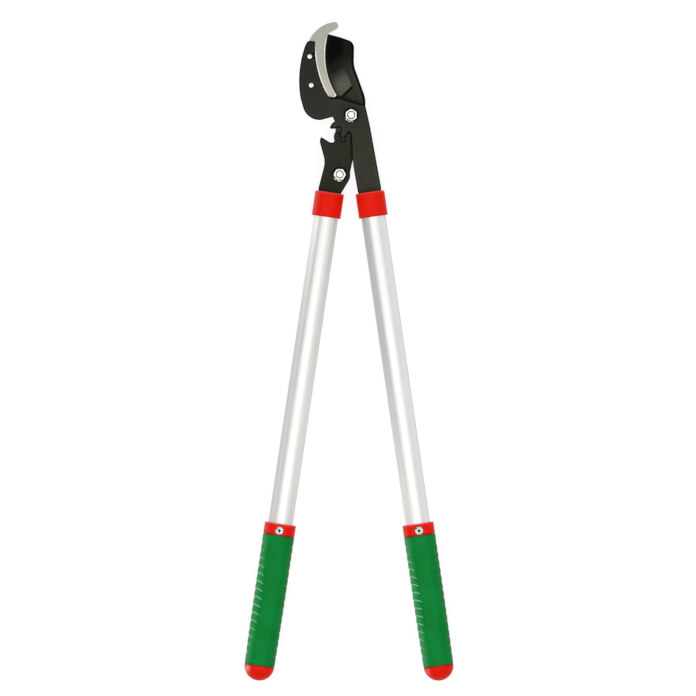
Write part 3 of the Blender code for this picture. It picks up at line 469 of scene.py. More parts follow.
def grid_faces(grid):
    """The quads of a grid of points."""
    return grid_quads(np.arange(grid.shape[0] * grid.shape[1]).reshape(grid.shape[:2])).tolist()


def add_object(name, data, place=(0, 0, 0)):
    """A new object, in the scene."""
    obj = bpy.data.objects.new(name, data)
    obj.location = place
    bpy.context.scene.collection.objects.link(obj)
    return obj


def add_piece(name, points, faces, finish, body, node, values, uv=None, sharp=32):
    """A mesh piece of the tool: seams and poles welded, normals outwards, riding on its body."""
    mesh = bpy.data.meshes.new(name)
    mesh.from_pydata(points.tolist(), [], faces)
    if uv is not None:
        corner_vertex = np.empty(len(mesh.loops), np.int32)
        mesh.loops.foreach_get("vertex_index", corner_vertex)
        mesh.uv_layers.new(name="UVMap").data.foreach_set("uv", uv[corner_vertex].ravel())
    for key, value in values.items():
        mesh.attributes.new(key, "FLOAT", "POINT").data.foreach_set("value", value)
    work = bmesh.new()
    work.from_mesh(mesh)
    bmesh.ops.remove_doubles(work, verts=work.verts, dist=WELD)
    bmesh.ops.delete(work, geom=[v for v in work.verts if not v.link_faces], context="VERTS")
    bmesh.ops.recalc_face_normals(work, faces=work.faces)
    work.to_mesh(mesh)
    work.free()
    mesh.shade_smooth()
    mesh.set_sharp_from_angle(angle=math.radians(sharp))
    mesh.materials.append(finish)
    obj = add_object(name, mesh)
    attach(obj, body)
    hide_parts(node)


def add_surface(name, grid, finish, body, node, values, uv=None, sharp=32):
    """A piece from a grid of points, rows down it and columns round it, ends repeated to close."""
    uv = None if uv is None else uv.reshape(-1, 2)
    values = {key: np.broadcast_to(value, grid.shape[:2]).ravel() for key, value in values.items()}
    add_piece(name, grid.reshape(-1, 3), grid_faces(grid), finish, body, node, values, uv, sharp)


def rim_scale(points):
    """How much narrower than elsewhere the rims of painted shade are, from the main pivot: 1 + 0.8 f - 0.45
    h.

    f is 1 where the plates and the blade's arm lie side by side, from the teeth down to the fork, and
    h is 1 at the hook plate's upper edge, under the blade, where the rim widens into a painted shadow.
    """
    x, y = points[:, 0], points[:, 1]
    across = bell((x - FACING_MIDDLE) / FACING_WIDTH, 4)
    facing = across * smooth_step((FACING_TOP - y) / 0.006) * smooth_step((y - FACING_END) / 0.006)
    upper = smooth_step((x + 0.027) / 0.004) * smooth_step((y - 0.008) / 0.006)
    return 1 + 0.8 * facing - 0.45 * upper


def add_plate(name, loops, front, back, rim, finish, body, slot, node, extra=(), uv=None, values=None):
    """A plate between two height fields, z = front(x, y) and z = back(x, y).

    Its rim is a profile carried along each loop: inset r (1 - sin a) and drop r (1 - cos a) for a
    from 0 to 90 degrees at the front, and the same at the back. The faces are a triangulation of
    the loops' inset points, a row just inside them, a lattice, and any extra points.
    """
    turn = quarter_turn(RIM_STEPS + 1)
    insets, drops = 1 - np.sin(turn), 1 - np.cos(turn)
    rings, rows = [], []
    for loop in loops:
        normal = outward(loop)
        radius = np.minimum(rim, 0.42 * (front(loop) - back(loop)))
        places = loop - normal * (insets[:, None] * radius)[..., None]
        tops = np.stack([front(place) for place in places]) - drops[:, None] * radius
        feet = np.stack([back(place) for place in places]) + drops[:, None] * radius
        upper = np.concatenate([places, tops[..., None]], -1)
        lower = np.concatenate([places, feet[..., None]], -1)
        rings.append(places[0])
        rows.append((np.concatenate([upper[1:], lower[:0:-1]]), insets[1:, None] * radius))
    edge = np.concatenate(loops)
    inner_rows = [grown(loop, -rim - 0.0005) for loop in loops]
    low_corner, high_corner = edge.min(0), edge.max(0)
    steps = [np.arange(low_corner[i], high_corner[i], FACE_STEP) for i in (0, 1)]
    lattice = np.stack(np.meshgrid(*steps), -1).reshape(-1, 2)
    lattice = lattice[crossings(lattice, loops)]
    lattice = lattice[distance_to(lattice, loops) > rim + 0.0016]
    free = np.concatenate([*inner_rows, lattice, *extra])
    free = free[crossings(free, loops)]
    free = free[distance_to(free, loops) > rim + 0.00045]
    plan = np.concatenate([*rings, free])
    numbers = np.split(np.arange(sum(map(len, rings))), np.cumsum([len(ring) for ring in rings[:-1]]))
    fences = np.concatenate([np.stack([ring, np.roll(ring, -1)], 1) for ring in numbers])
    found = delaunay_2d_cdt((plan / MM).tolist(), fences.tolist(), [], 0, 1e-7, False)
    faces = np.array([face for face in found[2] if max(face) < len(plan)])
    faces = faces[crossings(plan[faces].mean(1), rings)]
    a, b, c = (plan[faces[:, i]] for i in range(3))
    ab, ac = b - a, c - a
    area = ab[:, 0] * ac[:, 1] - ab[:, 1] * ac[:, 0]
    faces = np.where((area > 0)[:, None], faces, faces[:, ::-1])
    count = len(plan)
    points = [np.column_stack([plan, front(plan)]), np.column_stack([plan, back(plan)])]
    inner = distance_to(plan, loops)
    edge_values = [inner, inner]
    quads = []
    number = 2 * count
    for ring, (row, inset) in zip(numbers, rows):
        added = number + np.arange(row.shape[0] * row.shape[1]).reshape(row.shape[:2])
        number += added.size
        points.append(row.reshape(-1, 3))
        edge_values.append(np.concatenate([inset, inset[::-1]]).ravel())
        index = np.concatenate([ring[None], added, ring[None] + count])
        quads.append(grid_quads(np.concatenate([index, index[:, :1]], 1)))
    points = np.concatenate(points)
    all_faces = faces.tolist() + (faces[:, ::-1] + count).tolist() + np.concatenate(quads).tolist()
    values = {key: field(points) for key, field in (values or {}).items()}
    values["edge"] = np.concatenate(edge_values) * rim_scale(points)
    uv = None if uv is None else uv(points)
    add_piece(name, points + [*MAIN_PIVOT, 0], all_faces, finish, body, node, values, uv)


def around(place, radius, height, angles):
    """Points round an upright axis: x + r cos a, y + r sin a, z. The radius may change with the angle."""
    r = np.broadcast_to(radius, (len(height), len(angles)))
    z = np.broadcast_to(np.reshape(height, (len(height), -1)), r.shape)
    return np.stack([place[0] + r * np.cos(angles), place[1] + r * np.sin(angles), z], -1)


def column(values):
    """A one-dimensional array as a column."""
    return np.asarray(values, float)[:, None]


def full_turn(steps=TURN_STEPS, start=0.0):
    """Angles of one whole turn, with both ends."""
    return start + np.linspace(0, TURN, steps + 1)


def quarter_turn(count):
    """So many angles from 0 to 90 degrees."""
    return np.linspace(0, math.pi / 2, count)


def stacked(angles, *rows):
    """Radii and heights at each angle, from (radius, height) rows, each a number or an array."""
    blank = np.zeros((1, len(angles)))
    pairs = [np.broadcast_arrays(np.atleast_2d(r), np.atleast_2d(h), blank)[:2] for r, h in rows]
    return [np.concatenate(part) for part in zip(*pairs)]


def rounded_profile(points, radius, steps=5):
    """A profile whose inner corners are rounded by curves from r before to r after each corner.

    Each curve is (1-t)^2 p + 2t(1-t) corner + t^2 q.
    """
    points = np.asarray(points, float)
    before, here, after = points[:-2], points[1:-1], points[2:]
    back, on = before - here, after - here
    r = np.minimum(radius, 0.45 * np.minimum(np.linalg.norm(back, axis=1), np.linalg.norm(on, axis=1)))
    p, q = here + unit(back) * r[:, None], here + unit(on) * r[:, None]
    t = np.linspace(0, 1, steps + 1)[:, None]
    curves = (1 - t) ** 2 * p[:, None] + 2 * t * (1 - t) * here[:, None] + t**2 * q[:, None]
    return np.concatenate([points[:1], curves.reshape(-1, 2), points[-1:]])


# Materials


class Nodes:
    """A node tree, and the kinds of node that the effects and the materials are made of."""

    def __init__(self, tree):
        self.tree = tree

    def node(self, kind, inputs=None, **settings):
        """The outputs of a new node, which has its settings, and its inputs linked or set."""
        made = self.tree.nodes.new("ShaderNode" + kind)
        for key, value in settings.items():
            setattr(made, key, value)
        for socket, value in (inputs or {}).items():
            if isinstance(value, bpy.types.NodeSocket):
                self.tree.links.new(value, made.inputs[socket])
            else:
                made.inputs[socket].default_value = value
        return made.outputs

    def value(self, name):
        """A value stored on the mesh."""
        return self.node("Attribute", attribute_name=name)["Fac"]

    def noise(self, vector, scale, detail, rough=0.55):
        """Noise from 0 to 1 at a number of spots to the metre."""
        inputs = {"Vector": vector, "Scale": scale, "Detail": detail, "Roughness": rough}
        return self.node("TexNoise", inputs)["Fac"]

    def mapped(self, value, low_from, high_from, low_to=0.0, high_to=1.0, smooth=False):
        """A value's range moved to another range, and held at its ends."""
        inputs = {0: value, 1: low_from, 2: high_from, 3: low_to, 4: high_to}
        return self.node("MapRange", inputs, interpolation_type="SMOOTHSTEP" if smooth else "LINEAR")[0]

    def scaled(self, value, low_to, high_to):
        """A value from 0 to 1 moved to another range."""
        return self.mapped(value, 0.0, 1.0, low_to, high_to)

    def maths(self, operation, first, second):
        """One operation on two numbers."""
        return self.node("Math", {0: first, 1: second}, operation=operation)[0]

    def vectors(self, operation, first, second):
        """One operation on two vectors."""
        return self.node("VectorMath", {0: first, 1: second}, operation=operation)

    def mix(self, mask, first, second):
        """The first colour where the mask is 0, the second where it is 1."""
        return self.node("Mix", {0: mask, 6: first, 7: second}, data_type="RGBA")[2]


class Effect(Nodes):
    """A shared node group. Its inputs are vectors, given as None, and numbers with their usual values."""

    def __init__(self, name, **inputs):
        super().__init__(bpy.data.node_groups.new(name, "ShaderNodeTree"))
        for label, value in {"Vector": None, **inputs}.items():
            kind = "NodeSocketVector" if value is None else "NodeSocketFloat"
            socket = self.tree.interface.new_socket(label, in_out="INPUT", socket_type=kind)
            if value is not None:
                socket.default_value = value
        self.given = self.tree.nodes.new("NodeGroupInput").outputs

    def give(self, **outputs):
        """Make and link the group's outputs. Returns its tree."""
        for label in outputs:
            self.tree.interface.new_socket(label, in_out="OUTPUT", socket_type="NodeSocketFloat")
        end = self.tree.nodes.new("NodeGroupOutput")
        for label, value in outputs.items():
            self.tree.links.new(value, end.inputs[label])
        return self.tree


def grain_effect():
    """Small and large unevenness of a surface, as two values round 0.5 and a height."""
    made = Effect("surface_grain", Fine=1500.0, Broad=40.0)
    vector, scale = made.given["Vector"], made.given["Fine"]
    fine = made.noise(vector, scale, 2.0)
    broad = made.noise(vector, made.given["Broad"], 4.0, 0.6)
    lumps = made.noise(vector, made.maths("MULTIPLY", scale, 0.3), 2.0)
    return made.give(
        Speckle=made.mapped(fine, 0.3, 0.7), Cloud=made.mapped(broad, 0.3, 0.7, smooth=True),
        Height=made.maths("ADD", made.maths("MULTIPLY", fine, 0.5), lumps),
    )


def edge_wear_and_shade_effect():
    """Wear along edges, near where the edge attribute is 0, broken up by noise; also the whole rim there,
    for painted shade, and a band beside it, for a painted highlight.
    """
    made = Effect("edge_wear_and_shade", Width=0.0008, Patches=500.0, Amount=0.5)
    edge, width = made.value("edge"), made.given["Width"]
    near = made.mapped(edge, made.maths("MULTIPLY", width, 0.5), width, 1.0, 0.0, smooth=True)
    beside = made.mapped(edge, width, made.maths("MULTIPLY", width, 1.8), 1.0, 0.0, smooth=True)
    patches = made.noise(made.given["Vector"], made.given["Patches"], 4.0, 0.65)
    least = made.maths("SUBTRACT", 0.75, made.maths("MULTIPLY", made.given["Amount"], 0.4))
    broken = made.mapped(patches, least, made.maths("ADD", least, 0.12))
    return made.give(
        Mask=made.maths("MULTIPLY", near, broken), Rim=near, Band=made.maths("SUBTRACT", beside, near),
    )


def lines_effect():
    """Fine lines left by drawing or grinding, along V of the UV map, with a few deeper scratches."""
    made = Effect("tool_lines", Across=5000.0, Along=60.0)
    stretch = made.node("CombineXYZ", {0: made.given["Across"], 1: made.given["Along"]})[0]
    fine = made.vectors("MULTIPLY", made.given["Vector"], stretch)[0]
    coarse = made.vectors("MULTIPLY", fine, (0.18, 0.5, 1.0))[0]
    return made.give(
        Line=made.mapped(made.noise(fine, 1.0, 3.0, 0.6), 0.3, 0.7),
        Scratch=made.mapped(made.noise(coarse, 1.0, 2.0, 0.5), 0.66, 0.76),
    )


def ring_effect():
    """Painted shadow round a fastener: 1 up to its radius and 0 beyond a width, by the distance from it."""
    made = Effect("fastener_ring", Place=None, Radius=0.004, Width=0.001)
    distance = made.vectors("DISTANCE", made.given["Vector"], made.given["Place"])["Value"]
    past = made.maths("SUBTRACT", distance, made.given["Radius"])
    return made.give(Mask=made.mapped(past, 0.0, made.given["Width"], 1.0, 0.0, smooth=True))


GRAIN, WEAR_AND_SHADE, LINES, RING = grain_effect(), edge_wear_and_shade_effect(), lines_effect(), ring_effect()


class Finish(Nodes):
    """A material being made: its Principled shader, its coordinates, and its colour and normal so far."""

    def __init__(self, name, **constants):
        self.material = bpy.data.materials.new(name)
        self.material.use_nodes = True
        super().__init__(self.material.node_tree)
        self.shader = self.tree.nodes["Principled BSDF"]
        for socket, value in constants.items():
            self.shader.inputs[socket.replace("_", " ")].default_value = value
        place = self.node("TexCoord")
        self.object, self.uv = place["Object"], place["UV"]
        self.colour, self.normal = None, {}

    def group(self, tree, **inputs):
        """A shared effect."""
        return self.node("Group", {"Vector": self.object, **inputs}, node_tree=tree)

    def cover(self, mask, colour, share=1):
        """Lay another colour over the present one, by a share of the mask."""
        self.colour = self.mix(mask if share == 1 else self.scaled(mask, 0.0, share), self.colour, colour)

    def tint(self, factor):
        """Multiply the colour by a number."""
        self.colour = self.node("VectorMath", {0: self.colour, "Scale": factor}, operation="SCALE")[0]

    def bump(self, height, strength, distance):
        """Add a bump whose height is in units of the distance."""
        inputs = {"Strength": strength, "Distance": distance, "Height": height, **self.normal}
        self.normal = {"Normal": self.node("Bump", inputs)["Normal"]}

    def along(self, axis, start, end):
        """0 to 1 between two places along an axis of the tool."""
        return self.mapped(self.node("SeparateXYZ", {0: self.object})[axis], start, end, smooth=True)

    def uneven(self, centre, broad, broadly, fine, finely):
        """A number that a broad and a fine value make uneven, by so much on either side."""
        most = self.scaled(broad, centre - broadly, centre + broadly)
        return self.maths("ADD", most, self.scaled(fine, -finely, finely))

    def rings(self, places, width):
        """Painted shadows round several fasteners, each (place, radius)."""
        mask = 0.0
        for place, radius in places:
            ring = self.group(RING, Place=tuple(place), Radius=radius, Width=width)["Mask"]
            mask = self.maths("MAXIMUM", mask, ring)
        return mask

    def finished(self, **sockets):
        """Link the colour, the normal and the other values to the shader. Returns the material."""
        for socket, value in {"Base Color": self.colour, **self.normal, **sockets}.items():
            self.tree.links.new(value, self.shader.inputs[socket])
        return self.material


def coated_steel(name, upper, lower, span, rough, specular, rings, hollow=None, arm=None):
    """Black coated steel: cloudy, finely pitted, with painted shade along its rims, a painted highlight
    in a band beside them, and painted shadows round its fasteners.

    The colour goes from the upper to the lower one over a span of Y, painted light and shade. A
    hollow-ground face, where there is one, is painted from black at the tip to lit grey at its heel, along
    Y - 0.7 X, for the light on its curve, with painted shade on the slope out of its lower end. An arm,
    where there is one, is painted to its own lighter colour, standing in for light between the plates.
    """
    made = Finish(name, Specular_IOR_Level=specular)
    grain = made.group(GRAIN, Fine=2600.0, Broad=55.0)
    wear = made.group(WEAR_AND_SHADE, Width=0.0021, Patches=420.0, Amount=0.12)
    # Painted light and shade: the colour goes from the upper to the lower one along Y
    made.colour = made.mix(made.along("Y", *span), upper, lower)
    made.bump(grain["Height"], 0.35, 0.00004)
    if hollow is not None:
        # Painted light on the hollow: black at its tip and lit grey towards its heel, for the light on its
        # curve
        place = made.node("SeparateXYZ", {0: made.object})
        way = made.maths("ADD", place["Y"], made.maths("MULTIPLY", place["X"], -0.7))
        faint = made.mapped(way, *HOLLOW_TAIL, 0.0, 0.11, smooth=True)
        painted_scoop_light = made.maths("MAXIMUM", made.mapped(way, *HOLLOW_FADE, smooth=True), faint)
        made.cover(made.value("hollow"), made.mix(painted_scoop_light, *hollow))
        # Painted shade on the slope out of the hollow's lower end and beside the counter blade's edge
        made.cover(made.value("wall"), PAINTED_SHADE_BLACK)
        lines = made.group(LINES, Vector=made.uv, Across=2600.0, Along=45.0)
        made.bump(lines["Line"], 0.12, 0.00002)
    if arm is not None:
        # Painted light: the arm is lighter below the pivot, where it shows between the plates
        made.cover(made.along("Y", *ARM_FADE), arm)
    cloudy = made.scaled(grain["Cloud"], 0.88, 1.02)
    # Random cloudiness, and a painted highlight in a band beside each rim
    made.tint(made.maths("ADD", cloudy, made.scaled(wear["Band"], 0.0, 0.45)))
    # Painted shade along the rims
    made.cover(wear["Rim"], PAINTED_SHADE_BLACK)
    # Painted shadows round the fasteners
    made.cover(made.rings(rings, FASTENER_SHADOW_WIDTH), PAINTED_SHADE_BLACK)
    made.cover(wear["Mask"], (0.11, 0.10, 0.09, 1), 0.25)
    return made.finished(
        Metallic=made.scaled(wear["Mask"], 0.0, 0.6),
        Roughness=made.uneven(rough, grain["Cloud"], 0.03, grain["Speckle"], 0.02),
    )


def bare_steel():
    """Bare tool steel, linished along the bar, brighter along its ground edge, with painted highlights
    beside the jaw and round the foot, and painted shade towards the top of the hook.
    """
    made = Finish("linished_steel", Metallic=1.0)
    grain = made.group(GRAIN, Fine=1800.0, Broad=90.0)
    lines = made.group(LINES, Vector=made.uv, Across=3800.0, Along=70.0)
    wear = made.group(WEAR_AND_SHADE, Width=0.0006, Patches=600.0, Amount=0.9)
    made.colour = made.mix(grain["Cloud"], (0.41, 0.40, 0.345, 1), (0.48, 0.47, 0.405, 1))
    # Painted shade: darker towards the top of the hook, along Y
    made.tint(made.scaled(made.along("Y", 0.325, 0.295), 0.75, 0.87))
    made.cover(lines["Line"], (0.36, 0.35, 0.31, 1), 0.35)
    # The ground band along the cutting edge, and painted highlights by the jaw and round the foot
    made.cover(made.value("ground"), (0.82, 0.80, 0.77, 1), 0.85)
    made.cover(made.value("line"), (0.24, 0.23, 0.20, 1), 0.5)
    made.cover(wear["Mask"], (0.66, 0.65, 0.60, 1), 0.5)
    made.bump(lines["Line"], 0.18, 0.00003)
    made.bump(lines["Scratch"], 0.2, 0.00003)
    return made.finished(Roughness=made.uneven(0.40, grain["Cloud"], 0.04, lines["Line"], 0.04))


def zinc():
    """Bright zinc plating, faintly mottled, near black and rougher where the attribute of painted shade says
    so.
    """
    made = Finish("zinc_plating", Specular_IOR_Level=0.1)
    grain = made.group(GRAIN, Fine=3200.0, Broad=520.0)
    wear = made.group(WEAR_AND_SHADE, Width=0.0004, Patches=900.0, Amount=0.8)
    painted_shade = made.value("painted_shade")
    made.colour = made.mix(grain["Cloud"], (0.50, 0.50, 0.47, 1), (0.82, 0.82, 0.79, 1))
    made.cover(wear["Mask"], (0.82, 0.82, 0.80, 1), 0.6)
    # Painted shade, near black
    made.cover(painted_shade, (0.004, 0.004, 0.003, 1))
    made.bump(grain["Height"], 0.3, 0.00003)
    shade_roughness = made.scaled(painted_shade, 0.0, 0.4)
    return made.finished(
        Metallic=made.maths("SUBTRACT", 1.0, painted_shade),
        Roughness=made.maths("ADD", made.scaled(grain["Cloud"], 0.36, 0.22), shade_roughness),
    )


def aluminium():
    """Satin anodised tube, drawn along its length, with faint handling marks.

    Its brightness is painted light and shade: the mesh's attribute of painted light runs from 0, at
    the dullest painted streak, to 1.
    """
    made = Finish("anodised_aluminium", Metallic=1.0)
    grain = made.group(GRAIN, Fine=2200.0, Broad=22.0)
    lines = made.group(LINES, Vector=made.uv, Across=5200.0, Along=28.0)
    made.colour = made.mix(grain["Cloud"], (0.73, 0.73, 0.71, 1), (0.77, 0.77, 0.75, 1))
    made.cover(lines["Line"], (0.68, 0.68, 0.67, 1), 0.25)
    # Painted light and shade across and down the tube
    made.tint(made.scaled(made.value("painted_light"), *SHEEN))
    made.bump(lines["Line"], 0.10, 0.00002)
    made.bump(grain["Height"], 0.08, 0.00003)
    return made.finished(Roughness=made.uneven(0.47, grain["Cloud"], 0.03, lines["Line"], 0.03))


def moulded(name, deep, bright, worn, painted_light, dark, rough, pit, fine, broad, rings=()):
    """Moulded plastic or rubber: slight cloudiness, a fine skin texture, rims of painted shade, painted
    shadows round any screws, and rubbed edges.

    Where the mesh's attribute of painted light is 1, the colour is the light one given, a painted
    highlight.
    """
    made = Finish(name, Specular_IOR_Level=0.07)
    grain = made.group(GRAIN, Fine=fine, Broad=broad)
    wear = made.group(WEAR_AND_SHADE, Width=0.0007, Patches=380.0, Amount=0.45)
    made.colour = made.mix(grain["Cloud"], deep, bright)
    # Painted highlights
    made.cover(made.value("painted_light"), painted_light)
    # Painted shade along the rims, at the grooves' ends and down the sides
    made.cover(made.group(WEAR_AND_SHADE, Width=0.0013)["Rim"], dark, 0.55)
    made.cover(wear["Mask"], worn, 0.3)
    if rings:
        # Painted shadows round the grip screws
        made.cover(made.rings(rings, SCREW_SHADOW_WIDTH), dark)
    made.bump(grain["Height"], pit, 0.00006)
    return made.finished(Roughness=made.uneven(rough, grain["Cloud"], 0.04, grain["Speckle"], 0.03))


# Head


def polar(radius, angle, fillet=0.0):
    """An outline row from a radius and an angle."""
    return radius * math.cos(angle), radius * math.sin(angle), fillet


def flank(pitch_radius, thickness, root, tip):
    """(radius, half angle) from root to tip of an involute tooth: tan a - a, with cos a = base / r."""
    base = pitch_radius * math.cos(PRESSURE_ANGLE)
    bottom = max(base, root)
    radius = bottom + (tip - bottom) * np.linspace(0, 1, FLANK_STEPS + 1) ** 1.3
    if root < base:
        radius = np.concatenate([[root], radius])

    def involute(r):
        """An involute's angle at a radius."""
        a = np.arccos(np.minimum(1.0, base / r))
        return np.tan(a) - a

    return radius, thickness / (2 * pitch_radius) + involute(pitch_radius) - involute(radius)


def tooth(place, sides, low_side=True):
    """Outline rows up one flank of a tooth, which may be left out, and down the other."""
    radius, half = sides
    fillets = np.zeros(len(radius))
    fillets[0], fillets[-1] = TOOTH_ROOT_ROUND, TOOTH_TIP_ROUND
    up, down = (
        np.column_stack([radius[:, None] * rays(angle), fillets]) for angle in (place - half, place + half)
    )
    return corners(*(up if low_side else ()), *down[::-1])


def tang(place, splay):
    """Outline rows of an arm's end, its neck in the ferrule and the tang in the tube, left to right."""
    neck, inner = NECK_WIDTH / 2, TANG_WIDTH / 2
    left = [
        (-ARM_WIDTH / 2, NECK_BEVEL, 0.0005), (-neck, 0.0, 0.0), (-neck, -FERRULE_TOP_WALL, 0.0005),
        (-inner, -FERRULE_TOP_WALL, 0.0005), (-inner, -TANG_LENGTH, 0.003),
    ]
    rows = np.array(left + [(-x, y, fillet) for x, y, fillet in reversed(left)])
    rows[:, :2] = turned(rows[:, :2], splay) + place
    return corners(*rows)


HOOK_PITCH_RADIUS = PIVOT_SPACING * HOOK_TEETH / (HOOK_TEETH + LEVER_TEETH)
LEVER_PITCH_RADIUS = PIVOT_SPACING - HOOK_PITCH_RADIUS
TOOTH_PITCH = TURN * HOOK_PITCH_RADIUS / HOOK_TEETH
HOOK_ROOT_RADIUS = HOOK_PITCH_RADIUS - LEVER_ADDENDUM - HOOK_ROOT_CLEARANCE
LEVER_TIP_RADIUS = LEVER_PITCH_RADIUS + LEVER_ADDENDUM
LEVER_ROOT_RADIUS = LEVER_PITCH_RADIUS - HOOK_ADDENDUM - LEVER_ROOT_CLEARANCE
EDGE_CENTRE = (EDGE_LEFT + EDGE_RADIUS, EDGE_HEIGHT)
JAW_EDGE_CENTRE = (JAW_EDGE_LEFT + JAW_EDGE_RADIUS, JAW_EDGE_HEIGHT)
JAW_BACK_CENTRE = (JAW_BACK_LEFT + JAW_BACK_RADIUS, JAW_BACK_HEIGHT)
BLADE_EDGE_RADIUS = EDGE_RADIUS + BLADE_OVERLAP
HOOK_NECK_PLACE = turned((HOOK_HANDLE_OFFSET, -HOOK_NECK), HOOK_SPLAY)
LEVER_NECK_PLACE = turned((-LEVER_HANDLE_OFFSET, -LEVER_NECK), -LEVER_SPLAY)
HANDLES = {
    "right": (MAIN_PIVOT + HOOK_NECK_PLACE, HOOK_SPLAY, "hook_side"),
    "left": (MAIN_PIVOT + LEVER_PIVOT + LEVER_NECK_PLACE, -LEVER_SPLAY, "lever_side"),
}


def fastener(node, radius):
    """A fastener's place on the plates' front, and its radius."""
    return (*middle(node)[:2], front_of("hook_plate")), radius


def screw_place(side):
    """The middle of a grip screw's head, seen from the front."""
    place, splay, _ = HANDLES[side]
    return place + turned((0, -GRIP_DROP - SCREW_DROP), splay)


WASHER_RADIUS = (high("main_pivot_front_washer") - low("main_pivot_front_washer"))[0] / 2
WASHERS = [fastener(pivot + "_front_washer", WASHER_RADIUS) for pivot in ("main_pivot", "lever_pivot")]
RIVETS = [fastener("counter_blade_rivet_" + place, RIVET_RADIUS) for place in RIVET_PLACES]
SCREWS = [((*screw_place(side), 2 * AXIS_HEIGHT), SCREW_HEAD_RADIUS + SCREW_SHADOW_GAP) for side in HANDLES]
# Where the painted light on the blade's hollow grows, and where its faint tail begins, along Y - 0.7 X
HOLLOW_FADE = (MAIN_PIVOT[1] + 0.0689, MAIN_PIVOT[1] + 0.0370)
HOLLOW_TAIL = (MAIN_PIVOT[1] + 0.0800, MAIN_PIVOT[1] + 0.0655)
# Where the blade's arm is painted lighter, along Y
ARM_FADE = (MAIN_PIVOT[1] - 0.0100, MAIN_PIVOT[1] - 0.0160)

# The upper and lower colours of each coating are painted light and shade along Y, darker towards the jaws on
# the plate and the blade
PLATE = coated_steel(
    "black_plate_coating", (0.0175, 0.0165, 0.0122, 1), (0.0390, 0.0375, 0.0247, 1), (0.375, 0.175),
    0.42, 0.08, WASHERS + RIVETS,
)
LEVER = coated_steel(
    "black_lever_coating", (0.0230, 0.0225, 0.0130, 1), (0.0200, 0.0200, 0.0112, 1), (0.240, 0.180),
    0.42, 0.08, WASHERS,
)
BLADE = coated_steel(
    "black_blade_coating", (0.0075, 0.0089, 0.0049, 1), (0.0345, 0.0335, 0.0255, 1), (0.342, 0.308),
    0.34, 0.03, WASHERS, hollow=((0.0004, 0.0004, 0.0002, 1), (0.1080, 0.1080, 0.0850, 1)),
    arm=(0.0820, 0.0790, 0.0640, 1),
)
STEEL = bare_steel()
ZINC = zinc()
ALUMINIUM = aluminium()
RED = moulded(
    "red_moulding", (0.79, 0.0070, 0.0005, 1), (0.84, 0.0100, 0.0020, 1), (0.88, 0.08, 0.05, 1),
    (0.98, 0.27, 0.25, 1), (0.20, 0.0, 0.0, 1), 0.38, 0.25, 900.0, 30.0, SCREWS,
)
GREEN = moulded(
    "green_grip_rubber", (0.000, 0.190, 0.027, 1), (0.001, 0.230, 0.038, 1), (0.03, 0.36, 0.13, 1),
    (0.26, 0.80, 0.45, 1), (0.0, 0.085, 0.012, 1), 0.50, 0.4, 1400.0, 35.0,
)
NYLON = moulded(
    "black_bush_nylon", (0.015, 0.015, 0.015, 1), (0.025, 0.025, 0.024, 1), (0.06, 0.06, 0.06, 1),
    (0.06, 0.06, 0.06, 1), (0.008, 0.008, 0.008, 1), 0.55, 0.3, 1200.0, 60.0,
)


def hook_plate_outline():
    """Anticlockwise from the jaw's top: jaw back, heel, two teeth, lever arm, tang, shoulder."""
    sides = flank(
        HOOK_PITCH_RADIUS, HOOK_TOOTH_THICKNESS, HOOK_ROOT_RADIUS, HOOK_PITCH_RADIUS + HOOK_ADDENDUM,
    )
    lower = math.radians(270) - PIVOT_LEAN - MESH_ARC / HOOK_PITCH_RADIUS
    upper = lower - TOOTH_PITCH / HOOK_PITCH_RADIUS
    arm_left = LEVER_PIVOT[0] + ARM_LEFT
    inner_edge = left_arc(JAW_EDGE_CENTRE, JAW_EDGE_RADIUS, JAW_SOCKET[1] + 0.007, JAW_TOP)
    back = left_arc(JAW_BACK_CENTRE, JAW_BACK_RADIUS, JAW_TOP_LEFT[1], JAW_BACK_END)
    return outline(
        corners((*inner_edge[-1, :2], 0.0015), (*JAW_TOP_LEFT, 0.0035)),
        back[1:-1],
        corners((*back[-1, :2], 0.030)),
        arc(JAW_HEEL, JAW_HEEL_RADIUS, math.radians(199), math.radians(275)),
        corners(
            (*HEEL_CORNER, 0.001),
            polar(HOOK_ROOT_RADIUS + HEEL_NOTCH_LIFT, upper - HEEL_NOTCH_ANGLE, 0.0015),
        ),
        tooth(upper, sides),
        tooth(lower, sides),
        corners(
            polar(HOOK_ROOT_RADIUS, math.radians(267.5), TOOTH_ROOT_ROUND),
            (arm_left + ARM_GAP, ARM_TOP, 0.006),
            (arm_left + ARM_WAIST[0], ARM_WAIST[1], 0.080),
        ),
        tang(HOOK_NECK_PLACE, HOOK_SPLAY),
        corners(
            (*ARM_RIGHT, 0.060), (*SHOULDER_RIGHT, 0.003), (*SHOULDER_LEFT, 0.006), (*JAW_SOCKET, 0.0045),
        ),
        inner_edge[:-1],
    )


